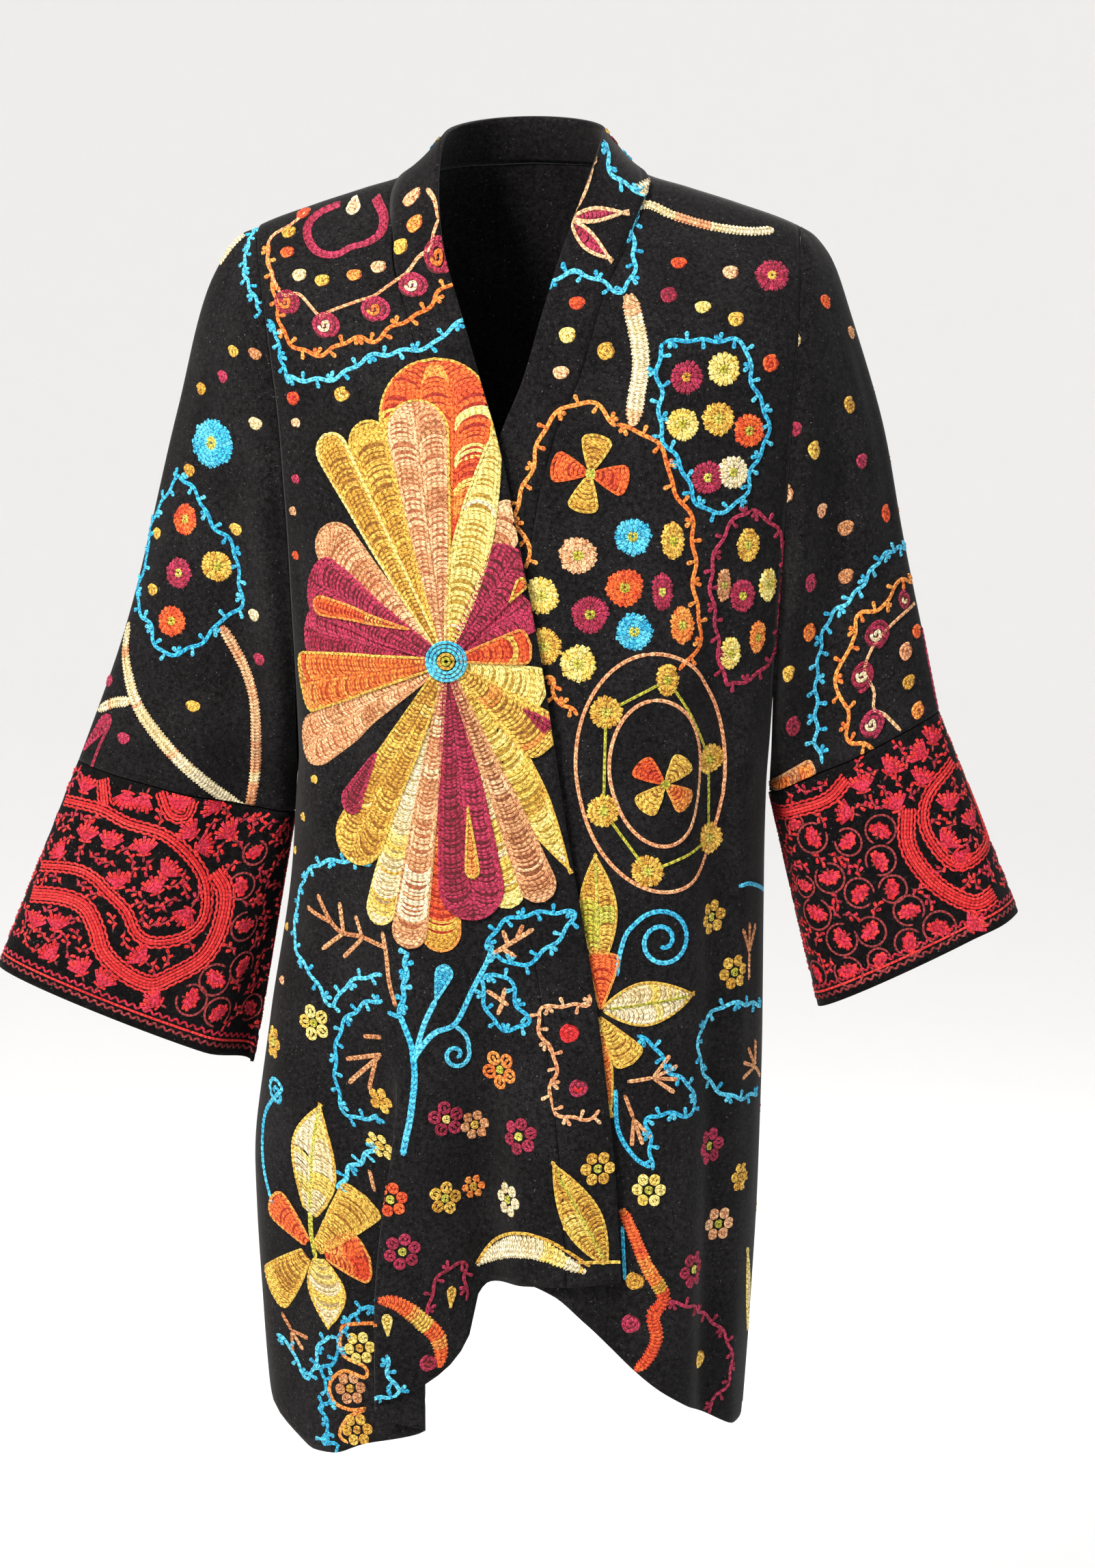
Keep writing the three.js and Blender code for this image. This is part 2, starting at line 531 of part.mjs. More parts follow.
const sleeveRows = [0, 0.012, 0.03, 0.055, 0.09, 0.13, 0.18, 0.25, 0.33, 0.42, 0.51, 0.6, 0.69, 0.77, 0.85, 0.92, 0.97, 1];
const sleeveThickness = (a, b) => (b > 0.96 ? CLOTH + WELT_EXTRA : CLOTH);
for (const name of ['right', 'left']) {
  const { side } = SLEEVES[name];
  // the seam allowance turns in along the armhole, and away from the body where the armhole closes at the underarm
  const edgeNormal = (a, point) => {
    if (Math.abs(a) < 0.999) return null;
    const open = smoothstep(0, 12, Math.abs(point.y));
    return new THREE.Vector3(-side * (1 - open), Math.sign(a) * open, 0).normalize().multiplyScalar(-side);
  };
  addPiece(`sleeve_${name}`, wallGeometry(clothWall(
    (a, b) => sleevePoint(name, a, b), evenly(-1, 1, 26), sleeveRows, sleeveThickness, { edgeNormal },
  ), -side), materials.ground);
  addPiece(`cuff_${name}`, wallGeometry(clothWall(
    (a, b) => cuffPoint(name, a, b), evenly(-1, 1, 36).slice(0, -1), evenly(0, 1, 7), () => CUFF_CLOTH, { closed: true },
  ), -side), materials.cuff);
  addPiece(`band_${name}`, wallGeometry(clothWall(
    (a, b) => bandPoint(name, a, b), evenly(0, 1, 4), panelRows(name === 'right' ? 26 : 24, 900), () => BAND_CLOTH, { keep: forward },
  ), side), materials.band);
}
addPiece('band_neck', wallGeometry(clothWall(
  neckBandPoint, evenly(0, 1, 4), evenly(0, 1, 24), () => BAND_CLOTH, { keep: rearward },
), 1), materials.band);

export default group;
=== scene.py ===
"""An embroidered wool jacket in the hollow shape it takes when worn, with raised chain-stitch embroidery."""

import math

import bmesh
import bpy
import numpy as np
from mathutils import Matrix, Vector


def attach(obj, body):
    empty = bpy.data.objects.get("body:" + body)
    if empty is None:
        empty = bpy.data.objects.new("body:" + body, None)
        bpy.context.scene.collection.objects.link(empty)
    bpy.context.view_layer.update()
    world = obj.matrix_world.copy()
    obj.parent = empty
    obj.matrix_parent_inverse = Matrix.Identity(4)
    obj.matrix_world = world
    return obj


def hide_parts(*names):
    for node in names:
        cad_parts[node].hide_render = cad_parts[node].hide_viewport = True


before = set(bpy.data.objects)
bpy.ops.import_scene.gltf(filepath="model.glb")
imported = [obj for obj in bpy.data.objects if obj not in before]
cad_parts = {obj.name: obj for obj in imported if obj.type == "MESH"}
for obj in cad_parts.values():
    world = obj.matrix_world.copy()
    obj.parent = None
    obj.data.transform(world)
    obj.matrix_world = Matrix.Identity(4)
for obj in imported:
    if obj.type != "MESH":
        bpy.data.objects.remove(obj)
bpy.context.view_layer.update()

bl_info = {
    "name": "Embroidered jacket",
    "version": (1, 0, 0),
    "blender": (4, 5, 0),
    "location": "View3D > Sidebar > Jacket",
    "description": "Builds an open-front wool jacket with chain-stitch embroidery",
    "category": "Object",
}

MM = 0.001

# The cut and the drape are in millimetres, with +Z up, the front facing -Y and the wearer's right at -X.
SEAM_GAP = 0.3
BAND_GAP = 0.6
BAND_WIDTH = 40
BAND_PROUD = 0.5
LAP_CLEARANCE = 7
QUARTER = 268
OVAL_POWER = 2.4
NECK_HALF_WIDTH = 86
SHOULDER_DROP = 105
ARM_DEPTH = 58
UNDERARM_Z = -458
BAND_LEAVES_Z = -78
CUFF_SEAM_SHARE = 0.006
LAP_PEAK = 3.494
EDGE_SLACK = 2.0
FAR_FROM_HEM = 9.0
NEAREST = 12
HEM_Z = -900.0
# A pad's place along its stitch, set where the yarn material paints its seam shade, so pads show as painted
# shade.
PAD_LINK = 0.06
LAYER_REACH = 24
LAYER_EDGE = 3
FRONT, BACK = -1, 1


def table(columns, *rows):
    """A short table with named columns."""
    return {name: np.array([row[i] for row in rows], float) for i, name in enumerate(columns.split())}


BODY = table(
    "z seam_right seam_left arm_y front back",
    (60, 196, 200, 20, 34, 86),
    (0, 198, 202, 36, 54, 88),
    (-43, 198, 203, 50, 70, 91),
    (-80, 191, 204, 60, 86, 94),
    (-130, 182, 203, 67, 104, 96),
    (-200, 174, 199, 70, 117, 95),
    (-290, 170, 193, 62, 122, 90),
    (-370, 169, 188, 46, 122, 86),
    (-425, 171, 185, 24, 121, 85),
    (-458, 174, 183, 0.4, 121, 86),
    (-520, 178, 182, 0, 121, 89),
    (-640, 197, 182, 0, 122, 96),
    (-760, 211, 180, 0, 125, 103),
    (-870, 206, 175, 0, 127, 108),
    (-990, 198, 168, 0, 129, 112),
)
RIDGE = table(
    "x z", (0, 60), (30, 51), (60, 26), (86, -3), (120, -14), (158, -26), (203, -43), (226, -62), (260, -100)
)
NECKLINE = table("x z", (0, 7), (45, 5), (70, 1), (86, -3))
FRONT_EDGE = table(
    "z right left",
    (10, -62, 57),
    (-25, -61, 47),
    (-67, -50, 32),
    (-106, -37, 21),
    (-150, -23, 9),
    (-195, -9, -9),
    (-250, 3, -22),
    (-356, 23, -38),
    (-470, 40, -45),
    (-615, 64, -49),
    (-750, 78, -50),
    (-990, 88, -50),
)
HEM_RIGHT = table(
    "round z",
    (-275, -892),
    (-262, -922),
    (-248, -950),
    (-225, -968),
    (-200, -966),
    (-172, -952),
    (-140, -939),
    (-104, -927),
    (-80, -913),
    (-62, -902),
    (-50, -886),
    (-40, -862),
    (-32, -834),
    (-20, -824),
    (5, -819),
    (90, -816),
)
HEM_LEFT = table(
    "round z", (-90, -812), (10, -818), (40, -826), (70, -848), (110, -884), (160, -917), (195, -933),
    (232, -949), (254, -950), (270, -934)
)
HEM_BACK = table(
    "round z",
    (-270, -972),
    (-200, -950),
    (-130, -890),
    (-70, -836),
    (0, -818),
    (70, -832),
    (130, -880),
    (200, -936),
    (270, -956),
)
SLIT = table(
    "z front_right front_left back_right back_left",
    (-700, 0, 0, 0, 0),
    (-800, 0.012, 0.012, 0.01, 0.01),
    (-870, 0.03, 0.025, 0.02, 0.02),
    (-935, 0.12, 0.07, 0.04, 0.04),
    (-990, 0.3, 0.12, 0.07, 0.06),
)
FOLD_COLUMNS = "x_top x_hem z_top z_full width rise slip lapped"
FOLDS = {
    FRONT: table(
        FOLD_COLUMNS,
        (-86, -84, -540, -860, 62, 9, 41, 1),
        (-22, -24, -520, -810, 46, -27, 0, 0),
        (34, 46, -480, -850, 58, 7, 0, 0),
        (-160, -168, -480, -800, 50, -9, 0, 0),
        (118, 112, -300, -560, 46, 6, 0, 0),
        (152, 148, -250, -480, 30, -10, 0, 0),
        (-120, -132, -180, -420, 38, -6, 0, 0),
    ),
    BACK: table(
        FOLD_COLUMNS,
        (-128, -140, -240, -700, 56, 12, 0, 0),
        (-70, -84, -320, -760, 50, -15, 0, 0),
        (-14, -18, -260, -740, 62, 14, 0, 0),
        (52, 60, -300, -760, 52, -14, 0, 0),
        (112, 124, -240, -700, 56, 12, 0, 0),
    ),
}
LEVEL_COLUMNS = "b seam out reach"
SLEEVE_FOLD_COLUMNS = "at face width rise z_top z_full"
SLEEVES = {
    "left": dict(
        side=1,
        levels=table(
            LEVEL_COLUMNS,
            (0, -47, -43, 205.6),
            (0.04, -55, -48, 212),
            (0.1, -70, -66, 226),
            (0.2, -112, -106, 241),
            (0.4, -200, -186, 266),
            (0.6, -290, -262, 281),
            (0.8, -378, -334, 297),
            (1, -464, -401, 311),
        ),
        folds=table(
            SLEEVE_FOLD_COLUMNS,
            (0.84, -1, 0.13, 9, -90, -260),
            (0.62, -1, 0.13, -8, -150, -300),
            (0.8, 1, 0.15, 9, -100, -280),
            (0.55, 1, 0.14, -7, -160, -320),
        ),
        cuff=dict(out_x=374, out_z=-553, in_x=224, in_z=-629, depth=50, sag=-4),
        cuff_folds=table("at face width rise", (0.2, -1, 0.14, 6), (0.5, 1, 0.2, -6)),
    ),
    "right": dict(
        side=-1,
        levels=table(
            LEVEL_COLUMNS,
            (0, -47, -43, 200.6),
            (0.04, -55, -46, 209),
            (0.1, -70, -54, 218),
            (0.2, -112, -88, 238),
            (0.4, -200, -176, 263),
            (0.6, -290, -262, 285),
            (0.8, -385, -352, 310),
            (1, -484, -446, 346),
        ),
        folds=table(
            SLEEVE_FOLD_COLUMNS,
            (0.86, -1, 0.12, 7, -120, -300),
            (0.66, -1, 0.14, -9, -160, -380),
            (0.3, -1, 0.16, 3, -200, -400),
            (0.8, 1, 0.15, 9, -100, -280),
            (0.5, 1, 0.16, -8, -160, -320),
        ),
        cuff=dict(out_x=413, out_z=-608, in_x=214, in_z=-684, depth=50, sag=-6),
        cuff_folds=table("at face width rise", (0.88, -1, 0.14, -20), (0.5, 1, 0.2, -7)),
    ),
}
COLLAR_EDGE_HALF_WIDTH, COLLAR_EDGE_BACK_Y, COLLAR_SIDE_Z, COLLAR_BACK_Z = 59, 60, 27, 41

# Small creases as seen from the front, alike on the hidden sides: a soft trough or ridge from one end to the
# other, on the flat cloth of its panel.
CREASE_COLUMNS = "s0 t0 s1 t1 width depth"
CREASES = {
    "front_right": table(
        CREASE_COLUMNS,
        (-172, -300, -120, -430, 13, -2.4),
        (-176, -380, -132, -470, 11, -2.0),
        (-180, -470, -110, -520, 15, 1.8),
        (-150, -120, -118, -330, 22, -1.8),
        (-60, -230, -36, -420, 20, 1.4),
        (-30, -430, 34, -500, 16, -1.5),
        (-40, -560, -66, -700, 17, 2.0),
        (-140, -560, -168, -760, 16, -2.2),
        (-200, -600, -206, -820, 16, 2.2),
        (8, -640, 22, -800, 15, 2.0),
        (-44, -80, -90, -170, 18, 1.2),
    ),
    "front_left": table(
        CREASE_COLUMNS,
        (176, -250, 140, -420, 12, -2.4),
        (186, -360, 128, -500, 14, -2.2),
        (190, -440, 150, -560, 12, 2.0),
        (60, -150, 90, -340, 22, -1.4),
        (110, -560, 90, -820, 20, -2.2),
        (160, -600, 150, -860, 18, 2.2),
        (60, -500, 70, -760, 18, 1.8),
        (206, -560, 200, -800, 14, -2.0),
    ),
    "back": table(
        CREASE_COLUMNS,
        (-168, -280, -110, -420, 14, -2.4),
        (-176, -380, -120, -480, 12, -2.0),
        (166, -270, 108, -410, 14, -2.4),
        (176, -370, 120, -490, 12, 2.0),
        (-60, -90, 60, -100, 20, 1.2),
        (-100, -520, -112, -780, 16, 2.0),
        (36, -520, 30, -760, 18, -2.0),
        (96, -560, 104, -800, 16, 2.0),
        (-200, -560, -206, -820, 16, -2.0),
        (196, -560, 200, -820, 16, 2.0),
    ),
    "sleeve_right": table(
        CREASE_COLUMNS,
        (-30, -160, -20, -330, 13, -2.0),
        (-70, -220, -62, -400, 12, 2.0),
        (-100, -330, -40, -400, 12, -1.6),
        (40, -150, 60, -360, 14, -2.2),
        (90, -200, 84, -380, 12, 2.0),
    ),
    "sleeve_left": table(
        CREASE_COLUMNS,
        (-26, -140, -20, -300, 11, -2.2),
        (-56, -180, -50, -340, 11, 2.2),
        (-84, -250, -30, -330, 11, -1.6),
        (30, -130, 46, -300, 12, -2.2),
        (70, -180, 66, -330, 12, 2.0),
    ),
}


def hermite(start, leave, end, arrive, t):
    """A smooth blend from start to end that leaves and arrives with the slopes given."""
    return (
        start * (2 * t**3 - 3 * t**2 + 1)
        + leave * (t**3 - 2 * t**2 + t)
        + end * (3 * t**2 - 2 * t**3)
        + arrive * (t**3 - t**2)
    )


def curve(rows, at, column):
    """A smooth curve through one column of a table that never overshoots its rows."""
    order = np.argsort(rows[at])
    x, y = rows[at][order], rows[column][order]
    slope = np.diff(y) / np.diff(x)
    tangent = np.concatenate([slope[:1], np.zeros(len(x) - 2), slope[-1:]])
    before, after = slope[:-1], slope[1:]
    same_way = before * after > 0
    tangent[1:-1][same_way] = 2 * before[same_way] * after[same_way] / (before[same_way] + after[same_way])

    def value(v):
        v = np.asarray(v, float)
        i = np.clip(np.searchsorted(x, v, side="right") - 1, 0, len(x) - 2)
        h = x[i + 1] - x[i]
        t = (v - x[i]) / h
        inside = hermite(y[i], h * tangent[i], y[i + 1], h * tangent[i + 1], t)
        low = y[0] + tangent[0] * (v - x[0])
        high = y[-1] + tangent[-1] * (v - x[-1])
        return np.where(v <= x[0], low, np.where(v >= x[-1], high, inside))

    return value


seam_x = {FRONT: curve(BODY, "z", "seam_right"), BACK: curve(BODY, "z", "seam_left")}
arm_y = curve(BODY, "z", "arm_y")
body_depth = {FRONT: curve(BODY, "z", "front"), BACK: curve(BODY, "z", "back")}
ridge = curve(RIDGE, "x", "z")
neckline = curve(NECKLINE, "x", "z")
edge_x = {"right": curve(FRONT_EDGE, "z", "right"), "left": curve(FRONT_EDGE, "z", "left")}
hem_of = {
    "right": curve(HEM_RIGHT, "round", "z"),
    "left": curve(HEM_LEFT, "round", "z"),
    "back": curve(HEM_BACK, "round", "z"),
}
slit_share = {name: curve(SLIT, "z", name) for name in SLIT if name != "z"}


def mix(a, b, t):
    return a + (b - a) * t


def smoothstep(start, end, v):
    t = np.clip((np.asarray(v, float) - start) / (end - start), 0, 1)
    return t * t * (3 - 2 * t)


def slit_at(name, z):
    return np.maximum(0, np.where(z > SLIT["z"].max(), 0, slit_share[name](z)))


def rounded(share):
    t = np.minimum(np.abs(share), 1)
    return np.sign(share) * np.sqrt(1 - (1 - t) ** 2)


def oval_at(on_left, face, z):
    depth = body_depth[face](z)
    half_seam = np.where(on_left, seam_x[BACK](z), seam_x[FRONT](z))
    seam_y = np.maximum(0, arm_y(z))
    width = half_seam / (1 - (seam_y / depth) ** OVAL_POWER) ** (1 / OVAL_POWER)
    return depth, width, np.arctan2(half_seam, seam_y)


def smooth_body(u, z, face):
    """A point of the body before its folds; u is -1 at the wearer's right seam and 1 at the left one."""
    u, z = np.broadcast_arrays(np.asarray(u, float), np.asarray(z, float))
    depth, width, end = oval_at(u >= 0, face, z)
    angle = np.abs(u) * end
    sin, cos = np.abs(np.sin(angle)), np.abs(np.cos(angle))
    r = ((sin / width) ** OVAL_POWER + (cos / depth) ** OVAL_POWER) ** (-1 / OVAL_POWER)
    x = r * sin
    y = r * np.cos(angle) * rounded((ridge(x) - z) / SHOULDER_DROP)
    return np.stack([np.where(u < 0, -x, x), face * y, z], -1)


def u_at_x(x, z, face):
    x, z = np.broadcast_arrays(np.asarray(x, float), np.asarray(z, float))
    depth, width, end = oval_at(x >= 0, face, z)
    share = np.minimum(np.abs(x) / width, 0.999)
    y = depth * (1 - share**OVAL_POWER) ** (1 / OVAL_POWER)
    return np.where(x < 0, -1, 1) * np.arctan2(np.abs(x), y) / end


def hump(t):
    return np.where(np.abs(t) >= 1, 0, np.cos(np.clip(t, -1, 1) * np.pi / 2) ** 2)


def lap(t):
    return np.where(np.abs(t) >= 1, 0, LAP_PEAK * t * (1 - t * t) ** 2)


def body_point(u, z, face, with_lap=True):
    """A point of the body with its folds."""
    u, z = np.broadcast_arrays(np.asarray(u, float), np.asarray(z, float))
    slip, rise = np.zeros(u.shape), np.zeros(u.shape)
    folds = FOLDS[face]
    for i, lapped in enumerate(folds["lapped"]):
        if lapped and not with_lap:
            continue
        top, full, width = folds["z_top"][i], folds["z_full"][i], folds["width"][i]
        grown = smoothstep(top, full, z)
        x = mix(folds["x_top"][i], folds["x_hem"][i], np.clip((top - z) / (top + 960), 0, 1))
        t = (u - u_at_x(x, z, face)) * QUARTER / width
        rise += grown * folds["rise"][i] * (lap(t) if lapped else hump(t))
        if lapped:
            slip -= grown * folds["slip"][i] * lap(t)
    at = u + slip / QUARTER
    step = 1e-3
    along = smooth_body(at + step, z, face) - smooth_body(at - step, z, face)
    out = np.stack([along[..., 1], -along[..., 0], np.zeros(u.shape)], -1)
    out /= np.maximum(np.linalg.norm(out, axis=-1, keepdims=True), 1e-9)
    return smooth_body(at, z, face) - out * face * rise[..., None]


def band_seam_x(name, z):
    side = SLEEVES[name]["side"]
    return mix(edge_x[name](z) + side * BAND_WIDTH, side * NECK_HALF_WIDTH, smoothstep(-95, -4, z))


def top_of_column(u_of_column, face, count):
    z = np.full(count, -20.0)
    for _ in range(12):
        x = np.abs(smooth_body(u_of_column(z), z, face)[..., 0])
        z = np.where(x < NECK_HALF_WIDTH, neckline(x), ridge(x))
    return z


def lapped_point(name, u, z, extra=0.0):
    """A point of a front. Where the left front passes behind the right one it lies further in."""
    point = body_point(u, z, FRONT, name == "right")
    inward = -np.asarray(extra, float) * np.ones(point.shape[:-1])
    if name == "left":
        right_edge = edge_x["right"](z)
        covered = smoothstep(0, 1, (right_edge + 52 - u * QUARTER) / 40)
        under_lap = smoothstep(-8, -44, u * QUARTER) * smoothstep(-600, -760, z)
        inward = inward + LAP_CLEARANCE * covered + 13 * under_lap
    return point + np.stack([0 * inward, inward, 0 * inward], -1)


def sleeve_point(name, a, b):
    """A sleeve: a runs round from the front of the armhole (-1) over the outline (0) to its back (1)."""
    a, b = np.broadcast_arrays(np.asarray(a, float), np.asarray(b, float))
    sleeve = SLEEVES[name]
    seam_z, out_z, reach = (curve(sleeve["levels"], "b", column)(b) for column in ("seam", "out", "reach"))
    face = np.where(a < 0, -1, 1)
    w = np.abs(a)
    side = sleeve["side"]
    seam_front, seam_back = smooth_body(side, seam_z, FRONT), smooth_body(side, seam_z, BACK)
    seam = np.where((a < 0)[..., None], seam_front, seam_back)
    depth = ARM_DEPTH * rounded((sleeve["levels"]["out"][0] + 1 - out_z) / SHOULDER_DROP)
    turn = mix(0.25, 1, smoothstep(0.35, 1, b))
    inward = mix(1 - np.cos(w * np.pi / 2), (1 - np.cos(w * np.pi)) / 2, turn)
    gap = 0.3 + 2.1 * smoothstep(-360, UNDERARM_Z, seam_z)
    reach = reach - 1.9 * smoothstep(0.06, 0, b)
    x = mix(reach, np.abs(seam[..., 0]) + gap, inward)
    z = mix(out_z, seam_z, inward)
    opened = np.abs(np.sin(np.minimum(w, 1) * np.pi / 2)) ** 0.85
    y = mix(depth * opened, np.maximum(0.4, np.abs(seam[..., 1])), smoothstep(0.45, 1, w))
    folds = sleeve["folds"]
    for i, fold_face in enumerate(folds["face"]):
        grown = smoothstep(folds["z_top"][i], folds["z_full"][i], z)
        fold_hump = hump((w - folds["at"][i]) / folds["width"][i])
        y = y + (face == fold_face) * folds["rise"][i] * fold_hump * grown
    return np.stack([side * x, face * y, z], -1)


def cuff_point(name, a, b):
    """A cuff, round in the same way as its sleeve, from the cuff seam (b = 0) to its hem (b = 1)."""
    a, b = np.broadcast_arrays(np.asarray(a, float), np.asarray(b, float))
    sleeve = SLEEVES[name]
    side, cuff, folds = sleeve["side"], sleeve["cuff"], sleeve["cuff_folds"]
    face, w = np.where(a < 0, -1, 1), np.abs(a)
    top = sleeve_point(name, a, 1.0)
    top[..., 1] = np.where(w > 0.999, 0, top[..., 1])
    inward = (1 - np.cos(w * np.pi)) / 2
    hem_y = cuff["depth"] * np.maximum(0, np.sin(w * np.pi)) ** 0.8
    for i, fold_face in enumerate(folds["face"]):
        fold_hump = hump((w - folds["at"][i]) / folds["width"][i])
        hem_y = hem_y + (face == fold_face) * folds["rise"][i] * fold_hump
    hem_z = mix(cuff["out_z"], cuff["in_z"], inward) - cuff["sag"] * np.sin(w * np.pi)
    bottom = np.stack([side * mix(cuff["out_x"], cuff["in_x"], inward), face * hem_y, hem_z], -1)
    return mix(top, bottom, mix(CUFF_SEAM_SHARE, 1, b)[..., None])


def neck_band_point(across, turn):
    """The band round the back of the neck, from its seam (0) to its free edge (1), and from right to left."""
    across, turn = np.broadcast_arrays(np.asarray(across, float), np.asarray(turn, float))
    angle = np.pi * turn
    x = -NECK_HALF_WIDTH * np.cos(angle)
    z = neckline(np.abs(x)) + 1.3
    seam = body_point(u_at_x(x, z, BACK), z, BACK)
    seam[..., 1] = np.maximum(seam[..., 1], 0)
    sin = np.abs(np.sin(angle))
    edge = np.stack(
        [-COLLAR_EDGE_HALF_WIDTH * np.cos(angle), COLLAR_EDGE_BACK_Y * sin**0.9,
            mix(COLLAR_SIDE_Z, COLLAR_BACK_Z, sin)],
        -1,
    )
    curl = np.stack([np.cos(angle), -np.sin(angle), -0.5 + 0 * angle], -1) * (3 * across * (1 - across))[...,
            None]
    return mix(seam, edge, across[..., None]) + curl


def front_band_point(name, across, z):
    side = SLEEVES[name]["side"]
    seam_u = u_at_x(band_seam_x(name, z), z, FRONT) - side * (BAND_GAP / 2) / QUARTER
    edge_u = u_at_x(edge_x[name](z), z, FRONT)
    return lapped_point(name, mix(seam_u, edge_u, across), z, BAND_PROUD)


def shoulder_band_point(name, across, rise):
    """The part of a front's band between the chest and the shoulder, bending from one form to the other."""
    side = SLEEVES[name]["side"]
    leaves = np.full(across.shape, float(BAND_LEAVES_Z))
    low = front_band_point(name, across, leaves)
    below = front_band_point(name, across, leaves - 14)
    high = neck_band_point(across, np.full(across.shape, 0.0 if side < 0 else 1.0))
    beyond = neck_band_point(across, np.full(across.shape, 0.06 if side < 0 else 0.94))
    span = np.linalg.norm(high - low, axis=-1, keepdims=True)
    leave = (low - below) / np.linalg.norm(low - below, axis=-1, keepdims=True) * span
    arrive = (beyond - high) / np.linalg.norm(beyond - high, axis=-1, keepdims=True) * span
    bent = hermite(low, leave, high, arrive, rise[..., None])
    z = mix(BAND_LEAVES_Z, ridge(NECK_HALF_WIDTH), rise)
    u = u_at_x(band_seam_x(name, z), z, FRONT) - side * (BAND_GAP / 2) / QUARTER
    on_front = lapped_point(name, u, z, BAND_PROUD * (1 - rise))
    return np.where((across < 1e-6)[..., None], on_front, bent)


def grid_normals(points, outward):
    across = np.gradient(points, axis=1)
    down = np.gradient(points, axis=0)
    normal = np.cross(across, down)
    normal /= np.maximum(np.linalg.norm(normal, axis=-1, keepdims=True), 1e-9)
    return normal * outward


def panel_rows(count):
    """Shares of a panel's length, close together where the shoulder rounds over."""
    t = np.linspace(0, 1, count)
    return t - 0.75 * t * (1 - t) ** 8


class Piece:
    """One cut piece as a grid of points, columns across (a) and rows down (b), with their flat places."""

    def __init__(self, name, a, b, points, outward, flat):
        self.name, self.a, self.b = name, a, b
        self.s, self.t = flat
        self.outward = outward
        self.points = points
        self.normals = grid_normals(points, outward)
        spans = [np.linalg.norm(np.diff(points, axis=k), axis=-1).sum(k).mean() for k in (1, 0)]
        self.slack = EDGE_SLACK * (a[-1] - a[0]) / spans[0], EDGE_SLACK / spans[1]

    def crease(self, rows):
        """Presses soft troughs and ridges, and a slight unevenness, into the cloth."""
        wave_across = np.sin(self.s / 23 + 1.3 * np.sin(self.t / 61))
        wave_up = np.sin(self.t / 47 + 0.8 * np.sin(self.s / 39))
        push = 0.5 * wave_across * wave_up
        for i, width in enumerate(rows["width"]):
            start = np.array([rows["s0"][i], rows["t0"][i]])
            along = np.array([rows["s1"][i], rows["t1"][i]]) - start
            length = np.hypot(*along)
            ds, dt = self.s - start[0], self.t - start[1]
            share = (ds * along[0] + dt * along[1]) / length**2
            bow = 0.12 * width * np.sin(share * 5)
            off = (dt * along[0] - ds * along[1]) / length - bow
            fade = smoothstep(-0.25, 0.2, share) * smoothstep(1.25, 0.75, share)
            push = push + rows["depth"][i] * np.exp(-((off / width) ** 2)) * fade
        rim = np.minimum(np.minimum(self.a - self.a[0], self.a[-1] - self.a) * 14, 1)
        rim_down = np.minimum(np.minimum(self.b, 1 - self.b) * 22, 1)
        self.points = self.points + self.normals * (push * rim[None, :] * rim_down[:, None])[..., None]
        self.normals = grid_normals(self.points, self.outward)

    def look_up(self, a, b):
        """The place and normal at shares a and b, and whether it is on the piece."""
        i = np.interp(a, self.a, np.arange(len(self.a)))
        j = np.interp(b, self.b, np.arange(len(self.b)))
        i0 = np.minimum(i.astype(int), len(self.a) - 2)
        j0 = np.minimum(j.astype(int), len(self.b) - 2)
        fi, fj = (i - i0)[:, None], (j - j0)[:, None]
        slack_a, slack_b = self.slack
        inside = (a >= self.a[0] - slack_a) & (a <= self.a[-1] + slack_a)
        inside = inside & (b >= -slack_b) & (b <= 1 + slack_b)
        found = []
        for grid in (self.points, self.normals):
            upper = mix(grid[j0, i0], grid[j0, i0 + 1], fi)
            lower = mix(grid[j0 + 1, i0], grid[j0 + 1, i0 + 1], fi)
            found.append(mix(upper, lower, fj))
        return found[0], found[1], inside


